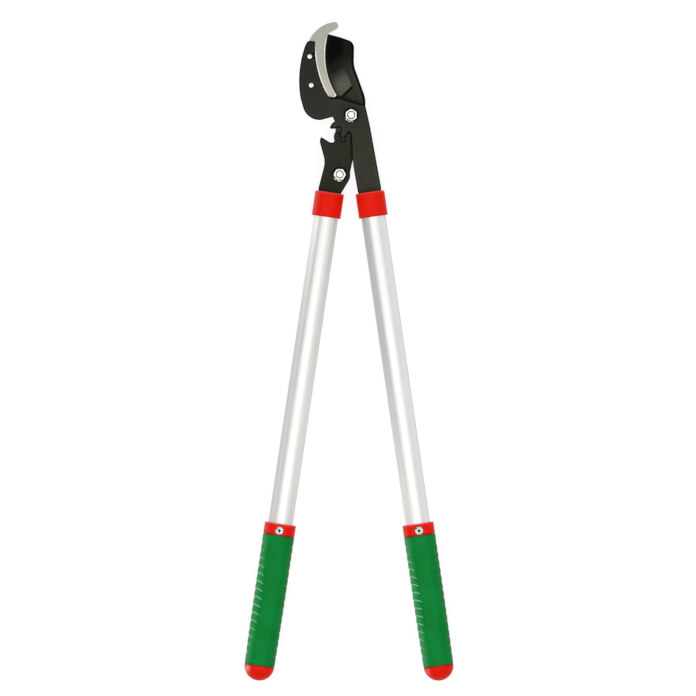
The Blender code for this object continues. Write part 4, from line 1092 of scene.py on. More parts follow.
def counter_blade_outline():
    """Anticlockwise from the inner corner under the hook: toe, hook, back, foot, cutting edge."""
    edge = left_arc(EDGE_CENTRE, EDGE_RADIUS, EDGE_HEEL[1] + 0.003, EDGE_TOE_HEIGHT)
    toe = np.array(HOOK_CENTRE) + polar(HOOK_RADIUS - HOOK_TOE_ROUND, HOOK_TOE_ANGLE)[:2]
    to_toe = toe - edge[-1, :2]
    under = math.atan2(to_toe[1], to_toe[0]) - math.asin(HOOK_TOE_ROUND / math.hypot(*to_toe))
    back_radius = JAW_BACK_RADIUS - COUNTER_INSET
    back = left_arc(JAW_BACK_CENTRE, back_radius, JAW_TOP_LEFT[1], COUNTER_FOOT_HEIGHT)
    return outline(
        corners((*edge[-1, :2], 0.0006)),
        arc(toe, HOOK_TOE_ROUND, under - math.pi / 2, HOOK_TOE_ANGLE),
        arc(HOOK_CENTRE, HOOK_RADIUS, HOOK_TOE_ANGLE, HOOK_BACK_ANGLE)[1:],
        back[1:-1],
        corners((*back[-1, :2], 0.004), (*COUNTER_FOOT_RIGHT, 0.003), (*EDGE_HEEL, 0.0014)),
        edge[:-1],
    )


def blade_outline():
    """Anticlockwise from the tip: cutting edge, heel, arm, round end, boss, back, top."""
    centre, crest = np.array(EDGE_CENTRE), np.array(BLADE_TOP_CREST)
    along = unit(np.array([-1, BLADE_TOP_SLOPE]))
    offset = crest - centre
    slant = offset @ along
    tip = crest + along * (math.sqrt(slant**2 - offset @ offset + BLADE_EDGE_RADIUS**2) - slant)
    tip_angle = math.atan2(*(tip - centre)[::-1])
    heel_angle = math.pi + math.asin((centre[1] - BLADE_HEEL[1] - 0.007) / BLADE_EDGE_RADIUS)
    ends = np.array([[side * BLADE_END_RADIUS, -BLADE_END_RADIUS] for side in (-1, 1)])
    ends = turned(ends, -PIVOT_LEAN) + LEVER_PIVOT
    return outline(
        corners((*tip, 0.0008)),
        arc(EDGE_CENTRE, BLADE_EDGE_RADIUS, tip_angle, heel_angle)[1:],
        corners(
            (*BLADE_HEEL, 0.006), (*BLADE_ARM_LEFT, 0.030), (*ends[0], BLADE_END_RADIUS),
            (*ends[1], BLADE_END_RADIUS), (*BLADE_ARM_RIGHT, 0.030), (*BLADE_BOSS, 0.012),
            (*BLADE_SHOULDER, 0.060), (*BLADE_BACK, 0.030), (*BLADE_TOP_RIGHT, 0.0090),
            (*BLADE_TOP_CREST, 0.060),
        ),
    )


def gear_lever_outline():
    """Anticlockwise from the right hip: two teeth, horn, neck, tang."""
    thickness = TOOTH_PITCH - HOOK_TOOTH_THICKNESS - BACKLASH
    sides = flank(LEVER_PITCH_RADIUS, thickness, LEVER_ROOT_RADIUS, LEVER_TIP_RADIUS)
    arc_to_last = MESH_ARC - TOOTH_PITCH / 2 + BACKLASH / 2 - DRIVE_GAP
    last = math.radians(90) - PIVOT_LEAN + arc_to_last / LEVER_PITCH_RADIUS
    step = TOOTH_PITCH / LEVER_PITCH_RADIUS
    horn = last + 2 * step
    right_top = math.sqrt(LEVER_TIP_RADIUS**2 - LEVER_RIGHT**2)
    points = outline(
        corners(
            (*LEVER_HIP_RIGHT, 0.012), (*LEVER_RIGHT_WAIST, 0.008), (LEVER_RIGHT, LEVER_RIGHT_END, 0.006),
            (LEVER_RIGHT, right_top, 0.0014),
        ),
        tooth(last, sides, low_side=False),
        tooth(last + step, sides),
        corners(
            polar(LEVER_ROOT_RADIUS, horn + HORN_ROOT_ANGLE, 0.004),
            polar(LEVER_TIP_RADIUS - HORN_TIP_DROP, horn + HORN_TIP_ANGLE, TOOTH_TIP_ROUND),
            polar(LEVER_TIP_RADIUS - HORN_BACK_DROP, horn + HORN_BACK_ANGLE, 0.006),
            (*LEVER_WAIST_LEFT, 0.026),
        ),
        tang(LEVER_NECK_PLACE, -LEVER_SPLAY),
    )
    return points + LEVER_PIVOT


def level(height):
    """A height field that is the same everywhere."""
    return lambda points: np.full(len(points), height)


def flat_plate(node):
    """The height fields of a plate's front and back, both level."""
    return level(front_of(node)), level(back_of(node))


def along_the_edge(points):
    """UV of a blade: distance from the cutting edge's centre, and distance along its arc."""
    x, y = (points[:, :2] - np.array(EDGE_CENTRE)).T
    return np.stack([away(points, EDGE_CENTRE), np.arctan2(y, -x) * EDGE_RADIUS], 1)


COUNTER = counter_blade_outline()


def seat_field(points):
    """The hook plate's back: level, and stepped up by a steep wall to seat the counter blade."""
    inside = inner_distance(points[:, :2], COUNTER)
    seat_depth = front_of("counter_blade") + SEAT_GAP - back_of("hook_plate")
    return back_of("hook_plate") + seat_depth * smooth_step((inside + 0.0005) / 0.0003)


def hook_plate():
    """The front plate with the jaw, two teeth and the right handle's arm."""
    loops = [
        hook_plate_outline(),
        bolt_hole((0, 0)),
        *(hole(place, RIVET_RADIUS + BORE_GAP / 4) for place in RIVET_PLACES.values()),
        pin_hole(HOOK_NECK_PLACE, HOOK_SPLAY),
    ]
    walls = [grown(COUNTER, gap) for gap in (0.00015, 0.00055)]
    add_plate(
        "jaw_and_arm_plate", loops, level(front_of("hook_plate")), seat_field, PLATE_RIM, PLATE, "hook_side",
        "plate_coating", "hook_plate", extra=walls,
    )


def gear_lever():
    """The front plate with the teeth and horn that the left handle turns."""
    pin = pin_hole(LEVER_NECK_PLACE, -LEVER_SPLAY) + LEVER_PIVOT
    loops = [gear_lever_outline(), bolt_hole(LEVER_PIVOT), pin]
    add_plate(
        "toothed_lever_plate", loops, *flat_plate("gear_lever"), PLATE_RIM, LEVER, "lever_side",
        "plate_coating", "gear_lever",
    )


def edge_band(points):
    """1 in the ground band along the cutting edge, and in bands of painted highlight by the jaw and round
    the foot.
    """
    from_edge = away(points, EDGE_CENTRE) - EDGE_RADIUS
    from_jaw = JAW_EDGE_RADIUS - away(points, JAW_EDGE_CENTRE)
    height = points[:, 1]
    below_toe = smooth_step((EDGE_TOE_HEIGHT - 0.002 - height) / 0.006)
    below_jaw = smooth_step((JAW_TOP - height) / 0.020)
    worn_off = 0.45 + 0.55 * smooth_step((height - 0.045) / 0.03)
    at_edge = smooth_step((GROUND_BAND - from_edge) / 0.0006) * below_toe * worn_off
    at_jaw = smooth_step((JAW_BAND - from_jaw) / 0.0006) * below_jaw
    near_foot = smooth_step((COUNTER_FOOT_HEIGHT + 0.0040 - height) / 0.003)
    at_foot = smooth_step((FOOT_BAND - distance_to(points[:, :2], [COUNTER])) / 0.0005) * near_foot
    return np.maximum(np.maximum(at_edge, at_jaw), at_foot)


def edge_line(points):
    """1 on the thin line where the ground band ends."""
    below_toe = smooth_step((EDGE_TOE_HEIGHT - 0.004 - points[:, 1]) / 0.006)
    return bell((away(points, EDGE_CENTRE) - EDGE_RADIUS - GROUND_BAND - 0.0007) / 0.0005) * below_toe


def counter_blade():
    """The hooked bare steel bar in the back of the jaw."""
    loops = [COUNTER, *(hole(place, RIVET_RADIUS + BORE_GAP) for place in RIVET_PLACES.values())]
    spokes = rays(np.linspace(math.radians(155), math.radians(215), 220))
    bands = ((EDGE_CENTRE, EDGE_RADIUS, GROUND_BAND, 1), (JAW_EDGE_CENTRE, JAW_EDGE_RADIUS, JAW_BAND, -1))
    rows = [
        centre + (radius + way * (band + step)) * spokes
        for centre, radius, band, way in bands for step in (-0.0006, 0.0, 0.0007, 0.0014)
    ]
    for inset in (0.0011, 0.0016):
        row = grown(COUNTER, -inset)
        rows.append(row[row[:, 1] < COUNTER_FOOT_HEIGHT + 0.004])
    add_plate(
        "hooked_counter_blade", loops, *flat_plate("counter_blade"), COUNTER_RIM, STEEL, "hook_side",
        "bare_steel", "counter_blade", extra=rows, uv=along_the_edge,
        values={"ground": edge_band, "line": edge_line},
    )


HOLLOW = outline(
    corners((*HOLLOW_CORNER, 0.0038), (*HOLLOW_RIGHT_BEND, 0.040), (*HOLLOW_RIGHT_TOP, 0)),
    left_arc(EDGE_CENTRE, BLADE_EDGE_RADIUS - EDGE_BAND, HOLLOW_RIGHT_TOP[1], HOLLOW_FOOT[1] + 0.004),
    corners((*HOLLOW_FOOT, 0.003)),
)


def above_the_foot(points):
    """Distance from the straight lower end of the hollow, positive inside it."""
    along = unit(np.subtract(HOLLOW_CORNER, HOLLOW_FOOT))
    return (points[:, :2] - np.array(HOLLOW_FOOT)) @ np.array([-along[1], along[0]])


def hollow_wall(points):
    """Where painted shade goes: 1 on the slope up out of the hollow at its lower end, and in the shade of
    the counter blade's edge.
    """
    inside = inner_distance(points[:, :2], HOLLOW)
    up = above_the_foot(points)
    wall = smooth_step(inside / 0.0004) * smooth_step(up / 0.0004) * smooth_step((HOLLOW_WALL - up) / 0.0008)
    return np.maximum(wall, smooth_step((away(points, EDGE_CENTRE) - EDGE_RADIUS + 0.0016) / 0.0008))


def hollow_share(points):
    """1 on the floor of the hollow in the blade, 0 outside, with a short slope between them."""
    inside = inner_distance(points[:, :2], HOLLOW)
    from_edge = BLADE_EDGE_RADIUS - EDGE_BAND - away(points, EDGE_CENTRE)
    slope = 0.0010 + 0.0036 * smooth_step((points[:, 1] - 0.042) / 0.016)
    foot = smooth_step((above_the_foot(points) + 0.0002) / HOLLOW_WALL)
    return smooth_step((inside + 0.0002) / slope) * smooth_step(from_edge / 0.007) * foot


def blade_front(points):
    """The blade's front: level, less a wheel's hollow of depth d - (y - m)^2 / 2R."""
    y = points[:, 1]
    depth = np.maximum(0, HOLLOW_DEPTH - (y - HOLLOW_MIDDLE) ** 2 / (2 * HOLLOW_RADIUS))
    return front_of("blade") - depth * hollow_share(points)


def blade_back(points):
    """The blade's back: level, rising to a thin land along the cutting edge, which runs out at its heel."""
    thickness = front_of("blade") - back_of("blade")
    rise = np.clip((away(points, EDGE_CENTRE) - BLADE_EDGE_RADIUS + BEVEL_WIDTH) / BEVEL_WIDTH, 0, 1)
    heel = smooth_step((points[:, 1] - BEVEL_END) / 0.005)
    left = smooth_step(-points[:, 0] / 0.004)
    return back_of("blade") + (thickness - BEVEL_LAND) * rise * heel * left


def blade():
    """The cutting blade with its hollow front, its bevel behind, and the arm to the lever pivot."""
    loops = [blade_outline(), bolt_hole((0, 0)), bolt_hole(LEVER_PIVOT)]
    spokes = rays(np.linspace(math.radians(150), math.radians(215), 300))
    ridge = np.array(EDGE_CENTRE) + (BLADE_EDGE_RADIUS - BEVEL_WIDTH) * spokes
    bands = [grown(HOLLOW, -inset) for inset in (-0.0002, 0.0002, 0.0005, 0.0009, 0.0016, 0.0024, 0.0032)]
    add_plate(
        "ground_cutting_blade", loops, blade_front, blade_back, BLADE_RIM, BLADE, "blade_side",
        "blade_coating", "blade", extra=[*bands, ridge], uv=along_the_edge,
        values={"hollow": hollow_share, "wall": hollow_wall},
    )


def rivet(node, place):
    """A rivet with a low crown and a small dimple: z = crown (1 - (r/R)^2)^0.6 - dimple."""
    r = column(RIVET_RADIUS * np.linspace(0, 1, 12) ** 0.7)
    crown = RIVET_CROWN * (1 - (r / RIVET_RADIUS) ** 2) ** 0.6 - 0.0002 * bell(r / 0.0006)
    top, foot = front_of("hook_plate"), back_of("hook_plate")
    angles = full_turn(RIVET_STEPS)
    radius, height = stacked(angles, (r, top + crown), (RIVET_RADIUS, foot), (0, foot))
    grid = around(MAIN_PIVOT + place, radius, height, angles)
    values = {"edge": RIVET_RADIUS - radius}
    add_surface(node + "_head", grid, ZINC, "hook_side", node, values)


def plated(node, ending, grid, body, edge, painted_shade, sharp=32):
    """A plated fastener's piece."""
    values = {"edge": edge, "painted_shade": painted_shade}
    add_surface(f"{node}_{ending}", grid, ZINC, body, node, values, sharp=sharp)


def hexagon(angles, turn):
    """Radius of a hexagon with slightly eased corners: (flats / 2) / cos(a mod 60 - 30 degrees)."""
    sixth = TURN / 6
    sharp = NUT_ACROSS_FLATS / 2 / np.cos((angles - turn) % sixth - sixth / 2)
    return (sharp**-60 + (NUT_ACROSS_FLATS / math.sqrt(3) * 0.995) ** -60) ** (-1 / 60)


def hexagon_cone(angles, turn):
    """Radii and drops of a hexagon's end: a cone, (r - start) tan slope, is cut round it."""
    face = NUT_ACROSS_FLATS / 2 * CONE_START
    inner = 0.88 * face
    radius = inner + column(np.linspace(0, 1, CONE_ROWS)) * (hexagon(angles, turn) - inner)
    return radius, np.maximum(radius - face, 0) * math.tan(CONE_SLOPE)


def thread(angles, heights):
    """A thread's radius: R less a triangle wave of depth d in z / pitch + a / turn."""
    phase = (column(heights) / THREAD_PITCH + angles / TURN) % 1
    return BOLT_RADIUS - THREAD_DEPTH * np.abs(2 * phase - 1)


def lit_side(angles):
    """1 on the side of the pivots with painted light in place of painted shade, 0 on the other."""
    return bell(((angles - LIT_CRESCENT_ANGLE + math.pi) % TURN - math.pi) / math.radians(40), 4)


def pivot_nut(node, turn, body):
    """A hexagon nut: countersunk bore, chamfered corners at both ends, with painted shade in its bore and
    round its rims.
    """
    top, seat = front_of(node), back_of(node)
    angles = full_turn(FINE_STEPS, turn)
    bore = BOLT_RADIUS + BORE_GAP
    cone, drop = hexagon_cone(angles, turn)
    radius, height = stacked(
        angles, (bore, seat), (bore, top - NUT_COUNTERSINK), (bore + NUT_COUNTERSINK, top),
        (cone, top - drop), (cone[-1], top - 0.0016), (cone[-1], seat + 0.0014),
        (cone[::-1], seat + drop[::-1]), (bore, seat),
    )
    edge = np.minimum(np.abs(radius - cone[-1]) + np.abs(height - top) * 0.3, PLATED_FAR)
    # Painted shade in the bore, round the hexagon's rims, less on the lit side, and a little on the sides
    painted_shade = np.zeros(radius.shape)
    painted_shade[:2] = 1
    share = radius[3:-1] / hexagon(angles, turn)
    painted_shade[3:-1] = smooth_step((share - 0.92 + 0.05 * lit_side(angles)) / 0.035)
    painted_shade[3 + CONE_ROWS : 5 + CONE_ROWS] = 0.15
    plated(node, "hexagon", around(middle(node), radius, height, angles), body, edge, painted_shade, 20)


def pivot_bolt(node, turn, body):
    """A hexagon bolt from behind, threaded at its front end."""
    end, foot = front_of(node), back_of(node)
    nut = node.replace("_bolt", "_nut")
    head_top = back_of(node.replace("_bolt", "_back_washer")) - SEAT_GAP
    angles = full_turn(FINE_STEPS, turn)
    flat_end = BOLT_RADIUS - BOLT_END_CHAMFER
    thread_z = np.linspace(end - 0.0006, back_of(nut) - 0.001, THREAD_ROWS)
    fade = column(smooth_step((end - thread_z) / 0.0016))
    threads = thread(angles, thread_z) * fade + (BOLT_RADIUS - 0.0004) * (1 - fade)
    cone, drop = hexagon_cone(angles, turn)
    radius, height = stacked(
        angles, (0, end), (0.7 * flat_end, end), (flat_end, end), (threads, column(thread_z)),
        (BOLT_RADIUS, back_of(nut) - 0.0012), (BOLT_RADIUS, head_top), (hexagon(angles, turn), head_top),
        (cone[::-1], foot + drop[::-1]), (0, foot),
    )
    edge = np.full(radius.shape, PLATED_FAR)
    edge[2] = 0
    # Painted shade on the thread below its end, for the dark ring between the bolt's end and the nut
    painted_shade = np.zeros(radius.shape)
    painted_shade[5 : -CONE_ROWS - 3] = 1
    plated(node, "threaded", around(middle(nut), radius, height, angles), body, edge, painted_shade, 20)


def washer(node, body):
    """A flat washer with eased edges, turned about its middle."""
    top, foot = front_of(node), back_of(node)
    rim = (high(node)[0] - low(node)[0]) / 2
    bore = BOLT_RADIUS + BORE_GAP
    gap = rim - BRIGHT_RING
    profile = rounded_profile(
        [(bore, foot), (bore, top), (gap, top), (gap + 0.0003, top), (rim, top), (rim, foot), (bore, foot)],
        0.0003,
    )
    radius, height = profile[:, :1], profile[:, 1:]
    angles = full_turn()
    # Painted shade all round the washer but for a painted lit crescent in its outer band, broken by spots
    lit_crescent = lit_side(angles)
    for spot in np.radians(SHADE_SPOTS[node.split("_")[0]]):
        lit_crescent = lit_crescent * (1 - bell((angles - spot) / 0.10))
    painted_shade = 1 - lit_crescent * smooth_step((radius - gap + 0.0001) / 0.0003) * smooth_step((rim - radius) / 0.0002)
    plated(node, "ring", around(middle(node), radius, height, angles), body, rim - radius, painted_shade)


def head():
    """Every piece in front of the ferrules."""
    hook_plate()
    counter_blade()
    blade()
    gear_lever()
    for place, at in RIVET_PLACES.items():
        rivet("counter_blade_rivet_" + place, at)
    for pivot, turn, body in (("main_pivot", TURN / 12, "hook_side"), ("lever_pivot", 0.0, "lever_side")):
        pivot_bolt(pivot + "_bolt", turn, body)
        pivot_nut(pivot + "_nut", turn, body)
        for place in ("front", "back"):
            washer(f"{pivot}_{place}_washer", body)


# Handles


def handle_surface(
    side, name, radius, height, angles, finish, node, flats=False, edge=MOULDED_FAR, painted_light=0.0, sharp=32,
):
    """A surface round a handle: x = r cos a, y = r sin a, z up the handle.

    Where there are flats, |y| is the soft least of |r sin a| and the axis's height f over the floor:
    -s ln(e^-|y|/s + e^-f/s).
    """
    radius, z = np.broadcast_arrays(radius, height, np.zeros((1, len(angles))))[:2]
    x, y = radius * np.cos(angles), radius * np.sin(angles)
    if flats:
        y = np.sign(y) * -FLAT_EASE * np.logaddexp(-np.abs(y) / FLAT_EASE, -AXIS_HEIGHT / FLAT_EASE)
    uv = np.stack([np.broadcast_to(angles * TUBE_RADIUS, radius.shape), z], -1)
    place, splay, body = HANDLES[side]
    plan = turned(np.stack([x, z], -1), splay) + place
    grid = np.concatenate([plan, (AXIS_HEIGHT - y)[..., None]], -1)
    values = {"edge": edge, "painted_light": painted_light}
    add_surface(f"{side}_{name}", grid, finish, body, f"{side}_{node}", values, uv, sharp)


def profile_edge(profile, places):
    """Distance from each point of a profile to the nearest of some places on it, as a column."""
    gaps = np.linalg.norm(profile[:, None] - np.array(places)[None], axis=2)
    return column(gaps.min(1))


def side_shade_line(angles):
    """Distance from a painted line of shade along each side of a moulding, as a row."""
    return 0.0013 * smooth_step((0.9996 - np.abs(np.cos(angles))) / 0.004)[None]


def lit_rim(height):
    """How much painted highlight a red piece has round its upper rim, which catches the light."""
    return 0.35 * bell(height / 0.0012)


def ferrule(side):
    """The red cap: a profile that starts as the slot's rectangle and ends as a circle.

    At each angle the slot's radius is min(w / |cos a|, d / |sin a|).
    """
    bore = GRIP_BORE
    rim = bore + FERRULE_WALL
    half_width = NECK_WIDTH / 2 + BORE_GAP
    half_depth = (front_of("hook_plate") - back_of("hook_plate")) / 2 + BORE_GAP
    corner_angle = math.atan2(half_depth, half_width)
    special = [corner_angle, math.pi - corner_angle, math.pi + corner_angle, TURN - corner_angle]
    angles = np.sort(np.concatenate([full_turn(FERRULE_STEPS), special]))
    slot = np.minimum(
        half_width / np.maximum(np.abs(np.cos(angles)), 1e-9),
        half_depth / np.maximum(np.abs(np.sin(angles)), 1e-9),
    )
    turn = quarter_turn(SHOULDER_ROWS)
    shoulder = FERRULE_ROUND * np.stack([np.sin(turn) - 1, np.cos(turn) - 1], 1) + (rim, 0)
    skirt = rounded_profile(
        [(rim, -FERRULE_ROUND), (rim, -0.0045), (rim, -FERRULE_LENGTH + 0.0022), (rim, -FERRULE_LENGTH),
         (bore, -FERRULE_LENGTH), (bore, -FERRULE_TOP_WALL), (bore * 0.985, -FERRULE_TOP_WALL)], 0.0010, 6,
    )
    outside = np.concatenate([[(bore * 0.985, 0)], shoulder, skirt[1:]])
    ease = 0.0003
    radius, height = stacked(
        angles, (slot, -FERRULE_TOP_WALL), (slot, -ease), (slot + ease * 0.3, -ease * 0.3),
        (slot + ease, 0), (outside[:, :1], outside[:, 1:]), (slot, -FERRULE_TOP_WALL),
    )
    # Painted shade along the lower rim and down the sides; painted highlights round the upper rim and on the
    # left
    rims = profile_edge(outside, [(rim, -FERRULE_LENGTH)])
    rims = np.concatenate([[[MOULDED_FAR]] * 2, [[0.0]] * 2, rims, [[MOULDED_FAR]]])
    lit = lit_rim(height) * (radius.max(1, keepdims=True) > bore)
    handle_surface(
        side, "ferrule_cap", radius, height, angles, RED, "ferrule",
        edge=np.minimum(rims, side_shade_line(angles)),
        painted_light=lit + SHINE[side][0] * on_the_left(angles, 0.55, 0.95),
    )


def tube(side):
    """The aluminium tube, open at both ends inside its fittings."""
    inner = TUBE_RADIUS - TUBE_WALL
    angles = full_turn()
    radius, height = stacked(
        angles, (inner, TUBE_TOP), (TUBE_RADIUS, column(np.linspace(TUBE_TOP, TUBE_END, TUBE_ROWS))),
        (inner, TUBE_END), (inner, TUBE_TOP),
    )
    handle_surface(
        side, "drawn_tube", radius, height, angles, ALUMINIUM, "tube",
        painted_light=tube_sheen(side, np.cos(angles), height),
    )


def tube_sheen(side, across, height):
    """How bright the tube's painted light and shade make it, as a share of the range from SHEEN's start
    to its end.

    Its left flank is dull in the middle of the left tube and brightens down the right one. It has a dull
    streak, near the upper end of the left tube and faint all down the right one, and a dull right edge.
    """
    down = (TUBE_TOP - height) / (TUBE_TOP - TUBE_END)
    if side == "left":
        left = 0.80 + 0.34 * bell(down / 0.18) + 0.28 * smooth_step((down - 0.7) / 0.3)
        streak = 0.22 * bell(down / 0.22) * bell((across + 0.45) / 0.12)
    else:
        left = 0.78 + 0.50 * smooth_step((down - 0.25) / 0.75)
        streak = 0.06 * bell((across + 0.55) / 0.15)
    to_middle = smooth_step((across + 0.58) / 0.34)
    right = 0.08 * smooth_step((across - 0.25) / 0.3) - 0.20 * smooth_step((across - 0.84) / 0.14)
    sheen = left + (0.97 - left) * to_middle - streak + right
    return np.clip((sheen - SHEEN[0]) / (SHEEN[1] - SHEEN[0]), 0, 1)


def grip_core(side):
    """The red moulding: eased collar, hidden barrel and domed end, with flats in front and behind."""
    turn = quarter_turn(DOME_ROWS)
    dome = np.stack([GRIP_END_RADIUS * np.cos(turn), DOME_SHOULDER - GRIP_END_RADIUS * np.sin(turn)], 1)
    dome[-1, 0] = 0
    collar_end = SLEEVE_TOP + SEAT_GAP
    collar = rounded_profile(
        [(GRIP_BORE, TUBE_END - SEAT_GAP), (GRIP_BORE, -GRIP_DROP), (GRIP_RADIUS, -GRIP_DROP),
         (GRIP_RADIUS, -GRIP_DROP - 0.0025), (GRIP_RADIUS, collar_end + 0.0022),
         (GRIP_RADIUS, collar_end), (BARREL_RADIUS, collar_end)], 0.0009, 6,
    )
    barrel = np.array([(BARREL_RADIUS, DOME_SHOULDER), (GRIP_END_RADIUS - 0.0004, DOME_SHOULDER)])
    start = np.array([(0, TUBE_END - SEAT_GAP)])
    profile = np.concatenate([start, collar, barrel, dome])
    # Painted shade at the collar's lower edge, the dome's shoulder and down the sides; painted highlights
    # round the collar's top, on the dome and on the left
    marks = [(GRIP_RADIUS, collar_end), (GRIP_END_RADIUS, DOME_SHOULDER)]
    angles = full_turn(FINE_STEPS)
    radius, height = profile[:, :1], profile[:, 1:]
    across = radius * np.cos(angles) / GRIP_END_RADIUS
    past = (DOME_SHOULDER - height) / GRIP_END_RADIUS
    shine = SHINE[side][1] * bell((across + 0.78) / 0.16) * bell((past - 0.26) / 0.24)
    handle_surface(
        side, "grip_moulding", radius, height, angles, RED, "grip_core",
        flats=True, edge=np.minimum(profile_edge(profile, marks), side_shade_line(angles)),
        painted_light=np.minimum(1, lit_rim(height + GRIP_DROP) + shine + 0.16 * on_the_left(angles, 0.60, 0.95)),
    )


def grooves(angles, drops):
    """Depth of the sleeve's grooves, d (1 - off^2), and where their upper lips get a painted highlight
    and their ends painted shade.

    A groove's middle lies at first + n pitch + droop r^4, where r is the angle from the side of the grip
    as a share of the groove's own length, shortest + (longest - shortest) sin(pi (n + 1/2) / N).
    Off runs from -1 to 1 across it, and its upper lip is at off = -0.85.
    """
    shortest, longest = RIB_REACH
    from_side = np.abs((angles + math.pi / 2) % math.pi - math.pi / 2)
    down = column(drops) - RIB_FIRST
    nearest = np.clip(np.round((down - RIB_DROOP / 3) / RIB_PITCH), 0, RIB_COUNT - 1)
    reach = from_side / (shortest + (longest - shortest) * np.sin(math.pi * (nearest + 0.5) / RIB_COUNT))
    off = (down - nearest * RIB_PITCH - RIB_DROOP * reach**4) / (RIB_WIDTH / 2)
    fade = np.clip(3 * (1 - reach), 0, 1) * (0.45 + 0.55 * smooth_step(reach / 0.5))
    depth = np.where(np.abs(off) < 1, RIB_DEPTH * (1 - off**2) * fade, 0.0)
    ends = smooth_step((1.0 - reach) / 0.12) * smooth_step((nearest + 0.8) / 4)
    return depth, bell((off + 0.85) / 0.26) * ends, bell((off - 0.1) / 0.5) * bell((reach - 0.86) / 0.13)


def on_the_left(angles, start, end):
    """0 to 1 between two places across a handle, as shares of its radius, on the left of its front."""
    return smooth_step((-np.cos(angles) - start) / (end - start))


def grip_sleeve(side):
    """The green sleeve: a round with flats and grooves, tapering by t (z / l)^4, eased at both ends."""
    length = SLEEVE_TOP - SLEEVE_END
    drops = np.linspace(0, length, SLEEVE_ROWS)
    angles = full_turn(SLEEVE_STEPS)
    depth, lip, spot = grooves(angles, drops)
    taper = (GRIP_RADIUS - GRIP_END_RADIUS) * (drops / length) ** 4
    ends = np.minimum(drops, length - drops)
    ease = 0.0004 * (1 - smooth_step(ends / 0.0006))
    radius = GRIP_RADIUS - column(taper + ease) - depth
    bore = BARREL_RADIUS + BORE_GAP
    radius, height = stacked(
        angles, (bore, SLEEVE_TOP), (radius, SLEEVE_TOP - column(drops)), (bore, SLEEVE_TOP - length),
        (bore, SLEEVE_TOP),
    )
    # Painted shade at the sleeve's ends and in spots at the grooves' ends on the left; painted highlights on
    # the grooves' upper lips on the left, and on its left
    edge = np.full(radius.shape, MOULDED_FAR)
    left = on_the_left(angles, 0.20, 0.40)
    edge[1:-2] = np.minimum(column(ends), MOULDED_FAR * (1 - spot * left) ** 3)
    painted_light = np.zeros(radius.shape)
    painted_light[1:-2] = np.minimum(1, SHINE[side][2] * on_the_left(angles, 0.50, 0.95) + lip * left)
    handle_surface(
        side, "grooved_sleeve", radius, height, angles, GREEN, "grip_sleeve",
        flats=True, edge=edge, painted_light=painted_light, sharp=50,
    )


def grip_screw(side):
    """The pan head screw: z = top - k (r/R)^4, less a cross-shaped recess."""
    node = side + "_grip_screw"
    top, tip = front_of(node), back_of(node)
    seat = 2 * AXIS_HEIGHT + SEAT_GAP
    angles = full_turn()
    share = column(np.linspace(0, 1, SCREW_ROWS))
    r = SCREW_HEAD_RADIUS * share
    x, y = r * np.cos(angles), r * np.sin(angles)
    recess = np.maximum(*(
        smooth_step((RECESS_SLOT / 2 - np.abs(across)) / 0.00018 + 0.5)
        * smooth_step((RECESS_WIDTH / 2 - np.abs(along)) / 0.0008)
        for across, along in ((x, y), (y, x))
    ))
    head_z = top - (top - seat) * 0.58 * share**4 - RECESS_DEPTH * recess
    radius, height = stacked(
        angles, (r, head_z), (SCREW_HEAD_RADIUS, seat), (SCREW_RADIUS, seat),
        (SCREW_RADIUS, tip + SCREW_RADIUS), (0, tip),
    )
    edge = np.full(radius.shape, PLATED_FAR)
    edge[SCREW_ROWS - 4 : SCREW_ROWS + 1] = 0.0
    # Painted shade in the cross recess and its middle, and a painted wedge of shade on the head
    painted_shade = np.zeros(radius.shape)
    shade_wedge = bell((angles - SCREW_SHADE_ANGLE) / 0.25) * bell((share - 0.80) / 0.22)
    painted_shade[:SCREW_ROWS] = np.clip(1.4 * recess + 1.3 * bell(share / 0.29, 4) + 1.2 * shade_wedge, 0, 1)
    grid = around(screw_place(side), radius, height, angles)
    plated(node, "pan_head", grid, HANDLES[side][2], edge, painted_shade, 40)


def handles():
    """Both handles. The bushes and pins inside keep their CAD shapes."""
    for side in HANDLES:
        ferrule(side)
        tube(side)
        grip_core(side)
        grip_sleeve(side)
        grip_screw(side)
        for node, finish in ((side + "_tang_bush", NYLON), (side + "_tang_pin", ZINC)):
            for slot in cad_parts[node].material_slots:
                slot.material = finish


# Studio


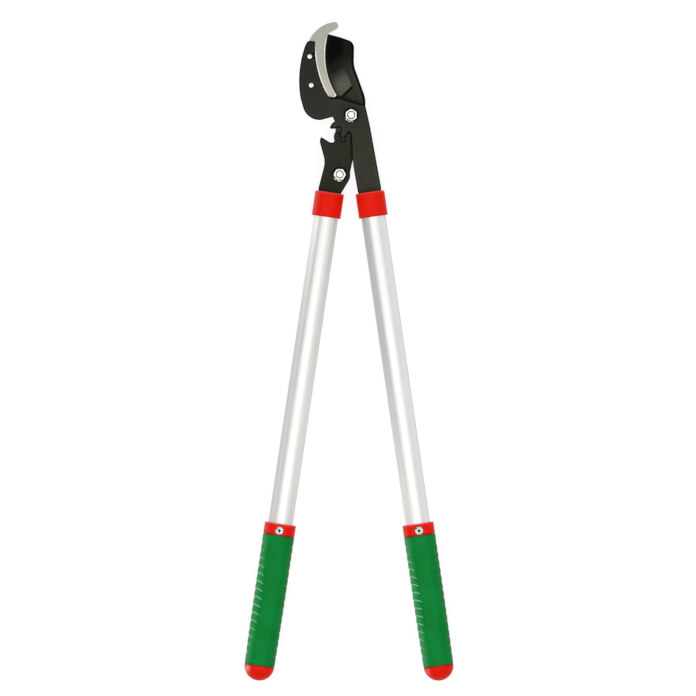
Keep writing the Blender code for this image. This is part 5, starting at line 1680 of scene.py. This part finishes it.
def studio_white(name):
    """White for the camera and for reflections, and a matt floor that still takes shadows.

    Seen from behind it lets the light through, so that the tool's back can be seen.
    """
    material = bpy.data.materials.new(name)
    material.use_nodes = True
    material.node_tree.nodes.clear()
    made = Nodes(material.node_tree)
    path = made.node("LightPath")
    seen = made.maths("MAXIMUM", path["Is Camera Ray"], path["Is Glossy Ray"])
    seen = made.maths("MAXIMUM", seen, path["Is Transmission Ray"])
    matt = made.node("BsdfDiffuse", {"Color": MATT_WHITE})[0]
    glow = made.node("Emission", {"Color": WHITE, "Strength": FLOOR_GLOW})[0]
    front = made.node("MixShader", {0: made.maths("MULTIPLY", seen, FLOOR_SEEN), 1: matt, 2: glow})[0]
    behind = made.node("NewGeometry")["Backfacing"]
    both = made.node("MixShader", {0: behind, 1: front, 2: made.node("BsdfTransparent")[0]})[0]
    made.node("OutputMaterial", {"Surface": both})
    return material


def studio_floor():
    """A wide round floor that curves up into a wall, turned about the upright axis."""
    turn = column(quarter_turn(FLOOR_ROWS))
    angles = full_turn(COARSE_STEPS)
    radius, height = stacked(
        angles, (FLOOR_POLE, 0), (FLOOR_RING, 0),
        (FLOOR_RADIUS + FLOOR_CURVE * np.sin(turn), FLOOR_CURVE * (1 - np.cos(turn))),
        (FLOOR_RADIUS + FLOOR_CURVE, FLOOR_WALL),
    )
    grid = around((0, 0), radius, height - FLOOR_DROP, angles)
    mesh = bpy.data.meshes.new("studio_floor")
    mesh.from_pydata(grid.reshape(-1, 3).tolist(), [], grid_faces(grid))
    mesh.shade_smooth()
    mesh.materials.append(studio_white("studio_white"))
    add_object("studio_floor", mesh)


def studio_lights():
    """A large soft box overhead, a low strip on the left, and a plain world."""
    for name, place, size, radiance in SOFT_BOXES:
        lamp = bpy.data.lights.new(name, "AREA")
        lamp.shape = "RECTANGLE"
        lamp.size, lamp.size_y = size
        lamp.energy = radiance * size[0] * size[1] * math.pi
        obj = add_object(name, lamp, place)
        obj.rotation_euler = (-Vector(place)).to_track_quat("-Z", "Y").to_euler()
        obj.visible_camera = False
    world = bpy.data.worlds.new("studio")
    world.use_nodes = True
    sky = world.node_tree.nodes["Background"]
    sky.inputs["Color"].default_value = WHITE
    sky.inputs["Strength"].default_value = SKY
    bpy.context.scene.world = world


def camera():
    """The photograph's view, from far above the front: distance = width at the plates x lens / sensor."""
    lens = bpy.data.cameras.new("camera")
    lens.lens, lens.sensor_width = LENS, SENSOR
    lens.clip_end = CLIP_END
    place = (*VIEW_MIDDLE, AXIS_HEIGHT + VIEW_WIDTH * LENS / SENSOR)
    bpy.context.scene.camera = add_object("camera", lens, place)


head()
handles()
studio_floor()
studio_lights()
camera()
bpy.context.scene.view_settings.view_transform = "Standard"
